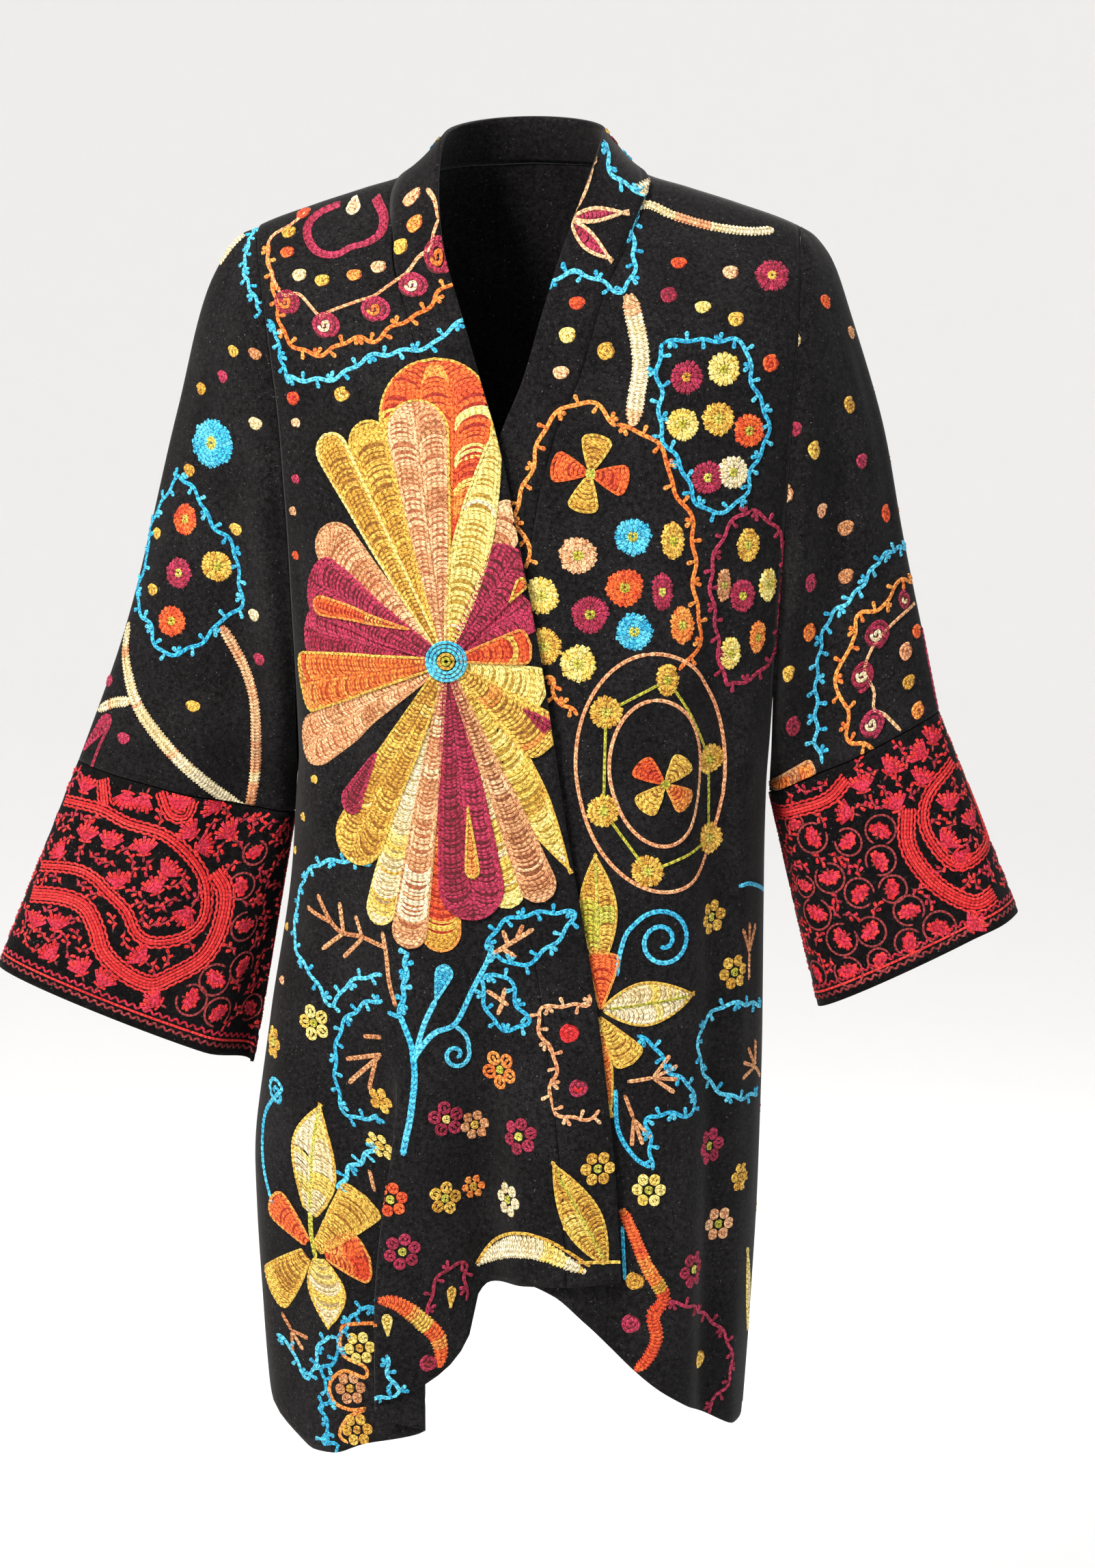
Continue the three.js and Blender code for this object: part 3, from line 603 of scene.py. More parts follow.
class Flat:
    """Cloth measured flat, in millimetres: s across and t up. One chart serves all pieces of a surface."""

    def __init__(self, surface, params, levels, level_is_height):
        self.params, self.levels = params, levels
        grid = surface(params[None, :], levels[:, None])
        steps = np.linalg.norm(np.diff(grid, axis=1), axis=-1)
        arc = np.concatenate([np.zeros((len(levels), 1)), np.cumsum(steps, axis=1)], axis=1)
        middle = np.argmin(np.abs(params))
        self.arc = arc - arc[:, middle : middle + 1]
        column = np.argmin(np.abs(params - (0.62 if level_is_height else 0.0)))
        down = np.linalg.norm(np.diff(grid[:, column], axis=0), axis=-1)
        length = np.concatenate([[0], np.cumsum(down)])
        if level_is_height:
            length -= np.interp(140, -levels, length) - 140
            self.height = -length
        else:
            self.height = grid[0, middle, 2] - length
        self.s_samples = np.arange(-400, 401, 2.0)
        self.param_at = np.array([np.interp(self.s_samples, row, params) for row in self.arc])

    def place(self, param, level):
        """Flat coordinates of a place on the surface."""
        k = np.interp(level, *self.ascending(self.levels, np.arange(len(self.levels))))
        m = np.interp(param, self.params, np.arange(len(self.params)))
        t = np.interp(k, np.arange(len(self.levels)), self.height)
        return self.bilinear(self.arc, k, m), t

    def at(self, s, t):
        """The surface's own parameters for flat coordinates."""
        level = np.interp(t, *self.ascending(self.height, self.levels))
        k = np.interp(level, *self.ascending(self.levels, np.arange(len(self.levels))))
        m = np.interp(s, self.s_samples, np.arange(len(self.s_samples)))
        return self.bilinear(self.param_at, k, m), level

    @staticmethod
    def ascending(x, y):
        order = np.argsort(x)
        return np.asarray(x, float)[order], np.asarray(y, float)[order]

    @staticmethod
    def bilinear(grid, k, m):
        k0 = np.clip(np.floor(k).astype(int), 0, grid.shape[0] - 2)
        m0 = np.clip(np.floor(m).astype(int), 0, grid.shape[1] - 2)
        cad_, fm = k - k0, m - m0
        upper = mix(grid[k0, m0], grid[k0, m0 + 1], fm)
        lower = mix(grid[k0 + 1, m0], grid[k0 + 1, m0 + 1], fm)
        return mix(upper, lower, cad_)


# The camera stands where the photo's did. Places that are given as seen are millimetres on the upright plane
# through its aim.
CAMERA_AZIMUTH = math.radians(5)
CAMERA_ELEVATION = math.radians(9)
CAMERA_DISTANCE = 2300
CAMERA_AIM = np.array([20.0, -40.0, -455.0])
CAMERA_LENS = 70.435
SEEN_SHIFT = np.array([22.3, -453.7])
camera_back = np.array(
    [
        math.sin(CAMERA_AZIMUTH) * math.cos(CAMERA_ELEVATION),
        -math.cos(CAMERA_AZIMUTH) * math.cos(CAMERA_ELEVATION),
        math.sin(CAMERA_ELEVATION),
    ]
)
camera_right = np.array([math.cos(CAMERA_AZIMUTH), math.sin(CAMERA_AZIMUTH), 0.0])
camera_up = np.cross(camera_back, camera_right)
camera_eye = CAMERA_AIM + camera_back * CAMERA_DISTANCE


def seen(points):
    """Where points show on the upright plane through the camera's aim, and how far off they are."""
    ray = points - camera_eye
    far = -(ray @ camera_back)
    across = ray @ camera_right / far * CAMERA_DISTANCE
    up = ray @ camera_up / far * CAMERA_DISTANCE
    return np.stack([across, up], -1) * 0.996 + SEEN_SHIFT, far


class Cloth:
    """A chart with its pieces: turns flat places into places on the draped cloth."""

    def __init__(self, flat):
        self.flat = flat
        self.pieces = []

    def add(self, piece, shares):
        self.pieces.append((piece, shares))

    def drape(self, s, t, lift):
        param, level = self.flat.at(s, t)
        place = np.zeros((len(s), 3))
        found = np.zeros(len(s), bool)
        for piece, shares in self.pieces:
            a, b = shares(param, level)
            points, normals, inside = piece.look_up(a, b)
            use = inside & ~found
            place[use] = (points + normals * lift[:, None])[use]
            found |= inside
        return place, found

    def from_seen(self, places):
        """Flat coordinates of places as the camera sees them. Where cloth folds over itself the layer that
        lies in front is taken, unless the place is clearly past its edge."""
        views, fars, flats = [], [], []
        for piece, _ in self.pieces:
            view, far = seen(piece.points)
            facing = np.einsum("ijk,ijk->ij", piece.normals, camera_eye - piece.points) > 0
            views.append(view[facing])
            fars.append(far[facing])
            flats.append(np.stack([piece.s[facing], piece.t[facing]], -1))
        view, far, flat = np.concatenate(views), np.concatenate(fars), np.concatenate(flats)
        result = []
        for place in np.asarray(places, float):
            off = np.hypot(*(view - place).T)
            near = np.argsort(off)[:NEAREST]
            miss = np.inf
            while len(near):
                leader = near[np.argmin(far[near])]
                same = np.hypot(*(flat[near] - flat[leader]).T) < LAYER_REACH
                layer, near = near[same], near[~same]
                weight = 1 / (off[layer] ** 2 + 0.5)
                shift = place - (view[layer] * weight[:, None]).sum(0) / weight.sum()
                if np.hypot(*shift) < miss - LAYER_EDGE:
                    miss = np.hypot(*shift)
                    spot = (flat[layer] * weight[:, None]).sum(0) / weight.sum()
                    spot += np.where(np.abs(shift) < 12, shift, 0)
            result.append(spot)
        return np.array(result)


def front_cloth(name):
    """A front and its band, measured flat from the centre front."""
    side = SLEEVES[name]["side"]
    levels = np.concatenate([np.arange(58, -60, -4.0), np.arange(-60, -1010, -10.0)])
    flat = Flat(lambda u, z: lapped_point(name, u, z), np.linspace(-1, 1, 401), levels, True)

    def u_of(a, z):
        gap = BAND_GAP / 2 + 1.4 * smoothstep(-110, -70, z)
        start = u_at_x(band_seam_x(name, z), z, FRONT) + side * gap / QUARTER
        return start, side * (1 - slit_at(f"front_{name}", z)), a

    a = np.linspace(0, 1, 70 if name == "right" else 54)
    b = panel_rows(170)

    def across(z, at=a):
        start, end, share = u_of(at, z)
        return mix(start, end, share)

    top = top_of_column(across, FRONT, len(a))
    bottom = hem_of[name](across(np.full(len(a), HEM_Z)) * QUARTER)
    z = mix(top[None, :], bottom[None, :], b[:, None])
    u = across(z, np.broadcast_to(a[None, :], z.shape))
    points = lapped_point(name, u, z)
    points[..., 1] = np.minimum(points[..., 1], -SEAM_GAP / 2)
    panel = Piece(f"front_{name}", a, b, points, -side, flat.place(u, z))
    panel.crease(CREASES[f"front_{name}"])

    def panel_shares(param, level):
        start, end, _ = u_of(0, level)
        share = (param - start) / (end - start)
        low, high = np.interp(share, a, top), np.interp(share, a, bottom)
        return share, (level - low) / (high - low)

    c = np.linspace(0, 1, 10)
    u_hem = mix(u_at_x(band_seam_x(name, HEM_Z), HEM_Z, FRONT), u_at_x(edge_x[name](HEM_Z), HEM_Z, FRONT), c)
    band_top = float(neckline(NECK_HALF_WIDTH))
    band_bottom = hem_of[name](u_hem * QUARTER)
    z = mix(band_top, band_bottom[None, :], b[:, None])
    share = np.broadcast_to(c[None, :], z.shape)
    on_body = front_band_point(name, share, z)
    rise = np.clip((z - BAND_LEAVES_Z) / (band_top - BAND_LEAVES_Z), 0, 1)
    points = np.where((z > BAND_LEAVES_Z)[..., None], shoulder_band_point(name, share, rise), on_body)
    points[..., 1] = np.minimum(points[..., 1], -SEAM_GAP / 2)
    seam_u = u_at_x(band_seam_x(name, z), z, FRONT) - side * (BAND_GAP / 2) / QUARTER
    u = mix(seam_u, u_at_x(edge_x[name](z), z, FRONT), share)
    band = Piece(f"band_{name}", c, b, points, side, flat.place(u, z))

    def band_shares(param, level):
        start = u_at_x(band_seam_x(name, level), level, FRONT) - side * (BAND_GAP / 2) / QUARTER
        end = u_at_x(edge_x[name](level), level, FRONT)
        share = (param - start) / (end - start)
        return share, (level - band_top) / (np.interp(share, c, band_bottom) - band_top)

    cloth = Cloth(flat)
    cloth.add(panel, panel_shares)
    cloth.add(band, band_shares)
    return cloth


def back_cloth():
    levels = np.concatenate([np.arange(58, -60, -4.0), np.arange(-60, -1010, -10.0)])
    flat = Flat(lambda u, z: smooth_body(u, z, BACK), np.linspace(-1, 1, 401), levels, True)
    a, b = np.linspace(0, 1, 104), panel_rows(150)

    def ends(z):
        return -1 + slit_at("back_right", z), 1 - slit_at("back_left", z)

    def across(z, at=a):
        return mix(*ends(z), at)

    top = top_of_column(across, BACK, len(a))
    bottom = hem_of["back"](across(np.full(len(a), HEM_Z)) * QUARTER)
    z = mix(top[None, :], bottom[None, :], b[:, None])
    u = across(z, np.broadcast_to(a[None, :], z.shape))
    points = body_point(u, z, BACK)
    points[..., 1] = np.maximum(points[..., 1], SEAM_GAP / 2)
    panel = Piece("back", a, b, points, 1, flat.place(u, z))
    panel.crease(CREASES["back"])

    def shares(param, level):
        start, end = ends(level)
        share = (param - start) / (end - start)
        low, high = np.interp(share, a, top), np.interp(share, a, bottom)
        return share, (level - low) / (high - low)

    cloth = Cloth(flat)
    cloth.add(panel, shares)
    return cloth


def tube_cloth(name, part):
    """A sleeve or a cuff, whose flat coordinates run round from its outline."""
    surface = sleeve_point if part == "sleeve" else cuff_point
    flat = Flat(lambda a, b: surface(name, a, b), np.linspace(-1, 1, 241), np.linspace(0, 1, 61), False)
    a = np.linspace(-1, 1, 101 if part == "sleeve" else 93)
    b = panel_rows(92) if part == "sleeve" else np.linspace(0, 1, 40)
    aa, bb = np.broadcast_arrays(a[None, :], b[:, None])
    side = SLEEVES[name]["side"]
    piece = Piece(f"{part}_{name}", a, b, surface(name, aa, bb), -side, flat.place(aa, bb))
    if part == "sleeve":
        piece.crease(CREASES[f"sleeve_{name}"])
    cloth = Cloth(flat)
    cloth.add(piece, lambda param, level: (param, level))
    return cloth


def neck_cloth():
    turn, across = np.linspace(0, 1, 60), np.linspace(0, 1, 10)
    flat = Flat(
        lambda a, b: neck_band_point(b, (a + 1) / 2), np.linspace(-1, 1, 121), np.linspace(0, 1, 21), False
    )
    aa, bb = np.broadcast_arrays((2 * turn - 1)[None, :], across[:, None])
    points = neck_band_point(bb, (aa + 1) / 2)
    points[..., 1] = np.maximum(points[..., 1], SEAM_GAP / 2)
    piece = Piece("band_neck", 2 * turn - 1, across, points, -1, flat.place(aa, bb))
    cloth = Cloth(flat)
    cloth.add(piece, lambda param, level: (param, level))
    return cloth


CLOTHS = {
    "front_right": front_cloth("right"),
    "front_left": front_cloth("left"),
    "back": back_cloth(),
    "sleeve_right": tube_cloth("right", "sleeve"),
    "sleeve_left": tube_cloth("left", "sleeve"),
    "cuff_right": tube_cloth("right", "cuff"),
    "cuff_left": tube_cloth("left", "cuff"),
    "neck": neck_cloth(),
}
PIECES = {piece.name: piece for cloth in CLOTHS.values() for piece, _ in cloth.pieces}


def run_of(path):
    """How far along a path each of its points lies."""
    return np.concatenate([[0], np.cumsum(np.hypot(*np.diff(path, axis=0).T))])


def sideways(path):
    """Unit steps to the left of a path."""
    tangent = np.gradient(path, axis=0)
    tangent /= np.maximum(np.hypot(*tangent.T), 1e-9)[:, None]
    return np.stack([-tangent[:, 1], tangent[:, 0]], -1)


class Stitching:
    """Rows of chain stitch, gathered in flat coordinates and then laid on a cloth as one mesh."""

    LINE = ((-0.5, -0.12), (-0.29, 0.9), (0.0, 0.35), (0.29, 0.9), (0.5, -0.12))
    FILL = ((-0.5, 0.1), (0.0, 1.0), (0.5, 0.1))

    def __init__(self, cloth, seed=7):
        self.cloth = cloth
        self.parts = []
        self.chance = np.random.default_rng(seed)

    def way(self, *places):
        """Flat coordinates of places as the camera sees them."""
        return self.cloth.from_seen(places)

    def place(self, x, z):
        return self.way((x, z))[0]

    def row(self, path, width, yarn, height=1.1, shade=None, link=5.0, lift=0.0, fill=False, ends=0.55):
        """A row of chain stitch along a path of flat coordinates. Its width may change along it."""
        path = np.asarray(path, float)
        steps = np.hypot(*np.diff(path, axis=0).T)
        keep = np.concatenate([[True], steps > 1e-6])
        path = path[keep]
        width = np.asarray(width, float)
        width = width[keep] if width.ndim else np.full(len(path), width)
        length = np.concatenate([[0], np.cumsum(steps[steps > 1e-6])])
        if length[-1] < 1.2:
            return
        count = max(3, int(round(length[-1] / link * 2)) + 1)
        at = np.linspace(0, length[-1], count)
        centre = np.stack([np.interp(at, length, path[:, k]) for k in (0, 1)], -1)
        across = sideways(centre)
        wide = np.interp(at, length, width)
        even = np.arange(count) % 2 == 0
        swell = np.where(even, 0.84, 1.0)
        tall = height * np.where(even, 0.72, 1.0) * np.clip(wide / 2.4, 0.5, 1)
        swell[[0, -1]], tall[[0, -1]] = ends, 0.1
        profile = np.array(self.FILL if fill else self.LINE)
        places = centre[:, None] + across[:, None] * (profile[:, 0] * (wide * swell)[:, None])[..., None]
        lifts = profile[:, 1] * tall[:, None] + np.where(profile[:, 1] > 0, lift, -0.05)
        if shade is None:
            shade = self.chance.random()
        drift = shade + 0.25 * np.sin(at / 19 + self.chance.random() * 6)
        self.parts.append((places, lifts, at / link, np.linspace(0, 1, len(profile)), drift, yarn))

    def pad(self, path, width, yarn, lift=0.0):
        """A bed of yarn under the rows of a filled shape, darkened as painted shade so that it reads as the
        shadow in the gaps between the rows.
        """
        path, width = np.asarray(path, float), np.asarray(width, float)
        across = sideways(path)
        columns = max(3, int(width.max() / 5) + 2)
        share = np.linspace(-0.5, 0.5, columns)
        places = path[:, None] + across[:, None] * (share * width[:, None])[..., None]
        lifts = np.where(np.abs(share) < 0.49, 0.32 + 1.25 * lift, -0.05) * np.ones((len(path), 1))
        lifts[[0, -1]] = -0.05
        # The along coordinate PAD_LINK and the middle across coordinate put the whole bed in the seam and
        # valley that the yarn material darkens, a painted shade.
        none = np.zeros(len(path))
        self.parts.append((places, lifts, none + PAD_LINK, np.full(columns, 0.5), none + 0.2, yarn))

    def build(self, name, yarns):
        """One mesh of all the rows, without the stitches that fall off the cloth."""
        flat = np.concatenate([places.reshape(-1, 2) for places, *_ in self.parts])
        lifts = np.concatenate([lift.reshape(-1) for _, lift, *_ in self.parts])
        points, found = self.cloth.drape(flat[:, 0], flat[:, 1], lifts)
        ground, _ = self.cloth.drape(flat[:, 0], flat[:, 1], lifts - 1)
        quads, uv, shades, slots = [], [], [], []
        start = 0
        for places, _, length, over, shade, yarn in self.parts:
            rings, wide = places.shape[:2]
            ring = start + np.arange(rings - 1)[:, None] * wide + np.arange(wide - 1)[None, :]
            quads.append(np.stack([ring, ring + wide, ring + wide + 1, ring + 1], -1).reshape(-1, 4))
            slots.append(np.full(len(quads[-1]), yarns.index(yarn)))
            pair = np.broadcast_arrays(length[:, None], over[None, :])
            uv.append(np.stack(pair, -1).reshape(-1, 2))
            shades.append(np.repeat(shade, wide))
            start += rings * wide
        quads, slots = np.concatenate(quads), np.concatenate(slots)
        uv, shades = np.concatenate(uv), np.concatenate(shades)
        corner = points[quads]
        along, across = corner[:, 1] - corner[:, 0], corner[:, 3] - corner[:, 0]
        whole = (np.linalg.norm(across, axis=1) < 6) & (np.linalg.norm(along, axis=1) < 12)
        whole &= np.linalg.norm(np.cross(along, across), axis=1) > 0.02
        keep = found[quads].all(1) & whole
        up = (points - ground)[quads[:, 0]]
        flip = np.einsum("ij,ij->i", np.cross(along, across), up) < 0
        quads[flip] = quads[flip][:, ::-1]
        quads, slots = quads[keep], slots[keep]
        used = np.unique(quads)
        renumber = np.zeros(len(points), int)
        renumber[used] = np.arange(len(used))
        mesh = bpy.data.meshes.new(name)
        mesh.vertices.add(len(used))
        mesh.vertices.foreach_set("co", (points[used] * MM).ravel())
        mesh.loops.add(quads.size)
        mesh.polygons.add(len(quads))
        mesh.loops.foreach_set("vertex_index", renumber[quads].ravel())
        mesh.polygons.foreach_set("loop_start", np.arange(0, quads.size, 4))
        mesh.polygons.foreach_set("material_index", slots)
        mesh.update(calc_edges=True)
        mesh.uv_layers.new(name="stitch").data.foreach_set("uv", uv[quads.ravel()].ravel())
        mesh.attributes.new("shade", "FLOAT", "POINT").data.foreach_set("value", shades[used])
        mesh.shade_smooth()
        return mesh


def smooth_path(points, step=2.0):
    """A round curve through a few places."""
    points = np.asarray(points, float)
    padded = np.concatenate([[2 * points[0] - points[1]], points, [2 * points[-1] - points[-2]]])
    out = []
    for i in range(1, len(padded) - 2):
        p0, p1, p2, p3 = padded[i - 1 : i + 3]
        t = np.linspace(0, 1, max(2, int(np.hypot(*(p2 - p1)) / step)), endpoint=False)[:, None]
        bend = (2 * p0 - 5 * p1 + 4 * p2 - p3) * t**2 + (3 * p1 - p0 - 3 * p2 + p3) * t**3
        out.append(0.5 * (2 * p1 + (p2 - p0) * t + bend))
    out.append(padded[-2][None, :])
    return np.concatenate(out)


def turned(offset, angle):
    c, s = math.cos(angle), math.sin(angle)
    offset = np.asarray(offset, float)
    return np.stack([offset[..., 0] * c - offset[..., 1] * s, offset[..., 0] * s + offset[..., 1] * c], -1)


def round_path(centre, radius, squash=1.0, count=None, tilt=0.0):
    turn = np.linspace(0, 2 * np.pi, count or max(10, int(radius * 2.4)))
    return np.asarray(centre, float) + turned(np.stack([np.cos(turn), np.sin(turn) * squash], -1) * radius,
            tilt)


def beside(path, offset):
    """A path that runs a little to one side of another."""
    return path + sideways(path) * np.asarray(offset, float).reshape(-1, 1)


def along_path(path, spacing, start=0.0):
    """Places and directions at even spacing along a path."""
    length = run_of(path)
    at = np.arange(start, length[-1], spacing)
    centre, ahead, behind = (
        np.stack([np.interp(at + shift, length, path[:, k]) for k in (0, 1)], -1) for shift in (0, 1, -1)
    )
    direction = ahead - behind
    return centre, np.arctan2(direction[:, 1], direction[:, 0]), at / max(length[-1], 1e-9)


def vine(work, points, yarn, width=3.6):
    work.row(smooth_path(points), width, yarn)


def thorned(work, points, yarn, width=3.8, spacing=12, thorn=7.5):
    """A stem with short knobbed thorns on both sides, which bends a little at each."""
    path = smooth_path(points)
    length = run_of(path)
    path = beside(path, 1.3 * np.sin((length - 5) * np.pi / spacing + np.pi / 2))
    work.row(path, width, yarn)
    centres, angles, _ = along_path(path, spacing, 5)
    for i, (centre, angle) in enumerate(zip(centres, angles)):
        side = 1 if i % 2 else -1
        for lean, reach in ((1.15, thorn), (1.95, thorn * 0.8)) if i % 3 == 0 else ((1.5, thorn),):
            share = np.array([0, 0.35, 0.6, 0.8, 0.93, 1])[:, None]
            hook = np.concatenate([share * reach, side * (i % 2 * 2 - 1) * 0.8 * share**2], 1)
            swell = width * np.array([0.7, 0.72, 0.95, 1.15, 1.0, 0.5])
            work.row(centre + turned(hook, angle + side * lean), swell, yarn, 1.5, link=2.6, ends=0.7)


def mottled(work, count, yarns):
    """A yarn and a shade for each of some rows: mostly the first yarn, with short runs of the others."""
    rows = []
    tone = work.chance.random()
    while len(rows) < count:
        pick = 0 if work.chance.random() < 0.5 else int(work.chance.integers(len(yarns)))
        for _ in range(int(work.chance.integers(1, 7))):
            tone = abs(tone + 0.5 * (work.chance.random() - 0.5))
            rows.append((yarns[pick], min(tone, 1.1)))
    return rows


def arc_band(work, points, width, yarns, spacing=2.9, taper=0.35, bow=2.2):
    """A thick stripe of short rows laid across it side by side, each a little bowed."""
    path = smooth_path(points)
    centres, angles, shares = along_path(path, spacing)
    rows = mottled(work, len(shares), yarns)
    work.pad(centres, width * np.minimum(0.9 - taper * (1 - np.sin(np.pi * shares)), 1), yarns[0])
    for centre, angle, share, (yarn, shade) in zip(centres, angles, shares, rows):
        v = np.linspace(-1, 1, 7)
        ends = min(share, 1 - share) * (len(shares) * spacing) / width
        half = width / 2 * (1 - taper + taper * math.sin(math.pi * share)) * min(1, 0.45 + ends)
        half *= 0.94 + 0.12 * work.chance.random()
        local = np.stack([bow * (1 - v**2), v * half], -1)
        work.row(centre + turned(local, angle), spacing * 1.06, yarn, 1.6, shade, 4.2, fill=True, ends=0.8)


def disc_bed(work, centre, radius, yarn, squash=1.0, tilt=0.0):
    """The bed under a round dot, darkened as painted shade between its stitches."""
    x = np.linspace(-1, 1, 9)
    path = np.asarray(centre, float) + turned(np.stack([x, 0 * x], -1) * radius, tilt)
    work.pad(path, 2 * radius * squash * np.sqrt(np.maximum(1 - x**2, 0.01)), yarn)


def wheel(work, centre, radius, outer, inner, squash=1.0, tilt=0.0):
    """A round dot of stitches that all run out from its middle; a small one is wound like a coil."""
    centre = np.asarray(centre, float)
    if radius < 9:
        coil(work, centre, radius, outer, inner, squash=squash * (0.85 + 0.15 * work.chance.random()),
                tilt=tilt)
        return
    disc_bed(work, centre, radius * 0.94, outer, squash, tilt)
    spokes = int(2 * np.pi * radius / 4.2)
    lean = work.chance.random() * 0.5
    for k in range(spokes):
        turn = 2 * np.pi * k / spokes
        reach = radius * (0.93 + 0.13 * work.chance.random())
        v = np.linspace(0, 1, 4)[:, None]
        turns = turn + lean * (1 - v)
        shape = np.concatenate([np.cos(turns), np.sin(turns) * squash], 1) * mix(radius * 0.36, reach, v)
        width = np.array([2.2, 3.3, 4.3, 4.1])
        work.row(centre + turned(shape, tilt), width, outer, 1.7, 1.1 * work.chance.random(), 3.6, ends=0.78,
                fill=k % 3 > 0)
    for k in range(spokes // 2):
        turn = 2 * np.pi * (k + 0.4) / (spokes // 2)
        shape = np.array([math.cos(turn), math.sin(turn) * squash]) * radius
        work.row(centre + turned(np.array([shape * 0.2, shape * 0.5]), tilt), 3.0, outer, 1.8, 1.0, 3.6,
                ends=0.7)
    work.row(round_path(centre, radius * 0.2, squash, 9, tilt), radius * 0.3, inner, 2.0, link=2.6, fill=True)


def coil(work, centre, radius, outer, inner, step=2.7, squash=1.0, tilt=0.0):
    """A round dot worked round and round towards its middle."""
    centre = np.asarray(centre, float)
    disc_bed(work, centre, radius * 0.9, outer, squash, tilt)
    count = max(2, int((radius - 1.2) / step))
    winds = np.linspace(0, 1, int(count * 2 * np.pi * radius * 0.55 / 1.6) + 8)
    for start, stop, yarn in ((0.0, 0.58, outer),
            (0.55, 1.0, inner)) if inner != outer else ((0.0, 1.0, outer),):
        part = winds[(winds >= start) & (winds <= stop)]
        turn = part * count * 2 * np.pi + tilt + radius
        r = (radius - step / 2) * (1 - part) + 0.4
        r = r * (1 + 0.07 * np.sin(turn * 2.3 + 2 * radius)) + 0.3 * np.sin(turn * 3.7)
        shape = np.stack([np.cos(turn) * r, np.sin(turn) * r * squash], -1)
        work.row(centre + turned(shape, tilt), step * 1.22, yarn, 1.5, None, 3.4, fill=radius < 9)


def blossom(work, centre, petals, inner, size=14.0, count=6, angle=0.3):
    """A small flower of round petals about a middle."""
    centre = np.asarray(centre, float)
    r = size * (0.34 if count > 5 else 0.4)
    for k in range(count):
        turn = angle + 2 * np.pi * k / count
        middle = centre + turned((size * 0.64, 0), turn)
        shade = 0.2 + 0.6 * ((k * 37) % 10) / 10
        work.row(round_path(middle, r - 1.5, count=9), 3.3, petals, 1.2, shade, 3.8)
        foot, tip = centre + turned((size * 0.36, 0), turn), centre + turned((size * 0.78, 0), turn)
        work.row([foot, tip], 2.8, petals, height=1.3, link=3.2, shade=shade + 0.2)
    work.row(round_path(centre, 2.2, count=8), 3.4, inner, height=1.7, link=3.0)


def petal(work, base, tip, width, edge, fills, vein=None, blunt=0.5, belly=1.0, foot=0.14, lift=0.0):
    """A petal or leaf: an outline from foot to tip and back, filled with bowed rows across it.

    A blunt of 0.2 gives it a flat end, 0.5 a round one and 0.8 or more a pointed one."""
    base, tip = np.asarray(base, float), np.asarray(tip, float)
    length = np.hypot(*(tip - base))
    angle = math.atan2(*(tip - base)[::-1])
    t = np.linspace(0, 1, max(18, int(length / 2)))
    pointed = blunt >= 0.7
    end = 0.55 if pointed else min(0.5, width / 2 * (0.45 if blunt < 0.25 else 1.0) / length)

    def half_at(share):
        grown = np.clip(np.asarray(share) / (1 - end), 0, 1)
        over = np.clip((np.asarray(share) - 1 + end) / end, 0, 1)
        rise = np.sin(grown * np.pi / 2) ** 0.9 if pointed else grown**belly * (1.12 - 0.12 * grown**2)
        fall = 1 - over**1.7 if pointed else np.sqrt(1 - over**2)
        return width / 2 * (foot + (1 - foot) * rise) * fall

    def spot(share, off):
        return base + turned(np.stack(np.broadcast_arrays(share * length, off), -1), angle)

    rim, spacing = 1.2, 2.9
    both = np.concatenate([spot(t, half_at(t) - rim), spot(t[::-1], rim - half_at(t[::-1]))])
    work.pad(spot(t, 0 * t), 2 * np.maximum(half_at(t) - rim, 0.1), fills[0], lift)
    work.row(both, 2.5, edge, 1.5, 0.9, 4.4, lift)
    columns = 1 if width < 24 and not vein else 2 if width < 50 or vein else 3
    if not vein and 24 <= width < 40:
        columns = 1 + int(edge == "plum")
    for column in range(columns):
        at = 0.5 * spacing * work.chance.random()
        for yarn, shade in mottled(work, int(length / spacing) + 2, fills):
            share = at / length
            at += spacing * (0.9 + 0.2 * work.chance.random())
            half = float(half_at(min(share, 1))) - rim * 1.6
            if half < 0.6 or share > 1 - 1.5 * rim / length:
                continue
            reach = half / columns
            middle = -half + reach * (2 * column + 1)
            room = max(0.0, (1 - share) * length - 2 * rim)
            v = np.linspace(-1, 1, 9)
            bow = min((0.62 + 0.3 * work.chance.random()) * reach, 0.75 * room) * np.sqrt(1 - 0.97 * v**2)
            skew = 0.25 * reach * v * (column - (columns - 1) / 2)
            cross = np.clip(share + (bow - 0.45 * min(reach, room) + skew) / length, 0.01, 1 - rim / length)
            off = np.clip(middle + v * reach * 1.02, -half_at(cross) + rim, half_at(cross) - rim)
            work.row(spot(cross, off), spacing * 1.02, yarn, 1.7, shade, 4.4, lift, True, 0.8)
    if vein:
        work.row(spot(t[2:-3], 0 * t[2:-3]), 2.8, vein, 2.3, lift=lift)


def sprig(work, base, angle, reach, yarn, fingers=3, spread=0.6):
    """A short stem that ends in a few stubby fingers."""
    base = np.asarray(base, float)
    fork = base + turned((reach * 0.5, 0), angle)
    work.row([base, fork], 3.6, yarn, link=4.2)
    for k in range(fingers):
        turn = angle + (k - (fingers - 1) / 2) * spread
        work.row([fork, fork + turned((reach * 0.55, 0), turn)], np.array([2.8, 4.4]), yarn, link=4.2)


def curl(work, centre, radius, yarn, turns, start, tail, width, hand):
    """A tail that winds into a spiral."""
    turn = np.linspace(0, turns * 2 * np.pi, 40)
    r = radius * (1 - turn / turn[-1] * 0.82)
    winding = start + hand * turn
    spiral = np.asarray(centre, float) + np.stack([np.cos(winding), np.sin(winding)], -1) * r[:, None]
    work.row(np.concatenate([smooth_path(np.array([*tail, spiral[0]])), spiral]), width, yarn)


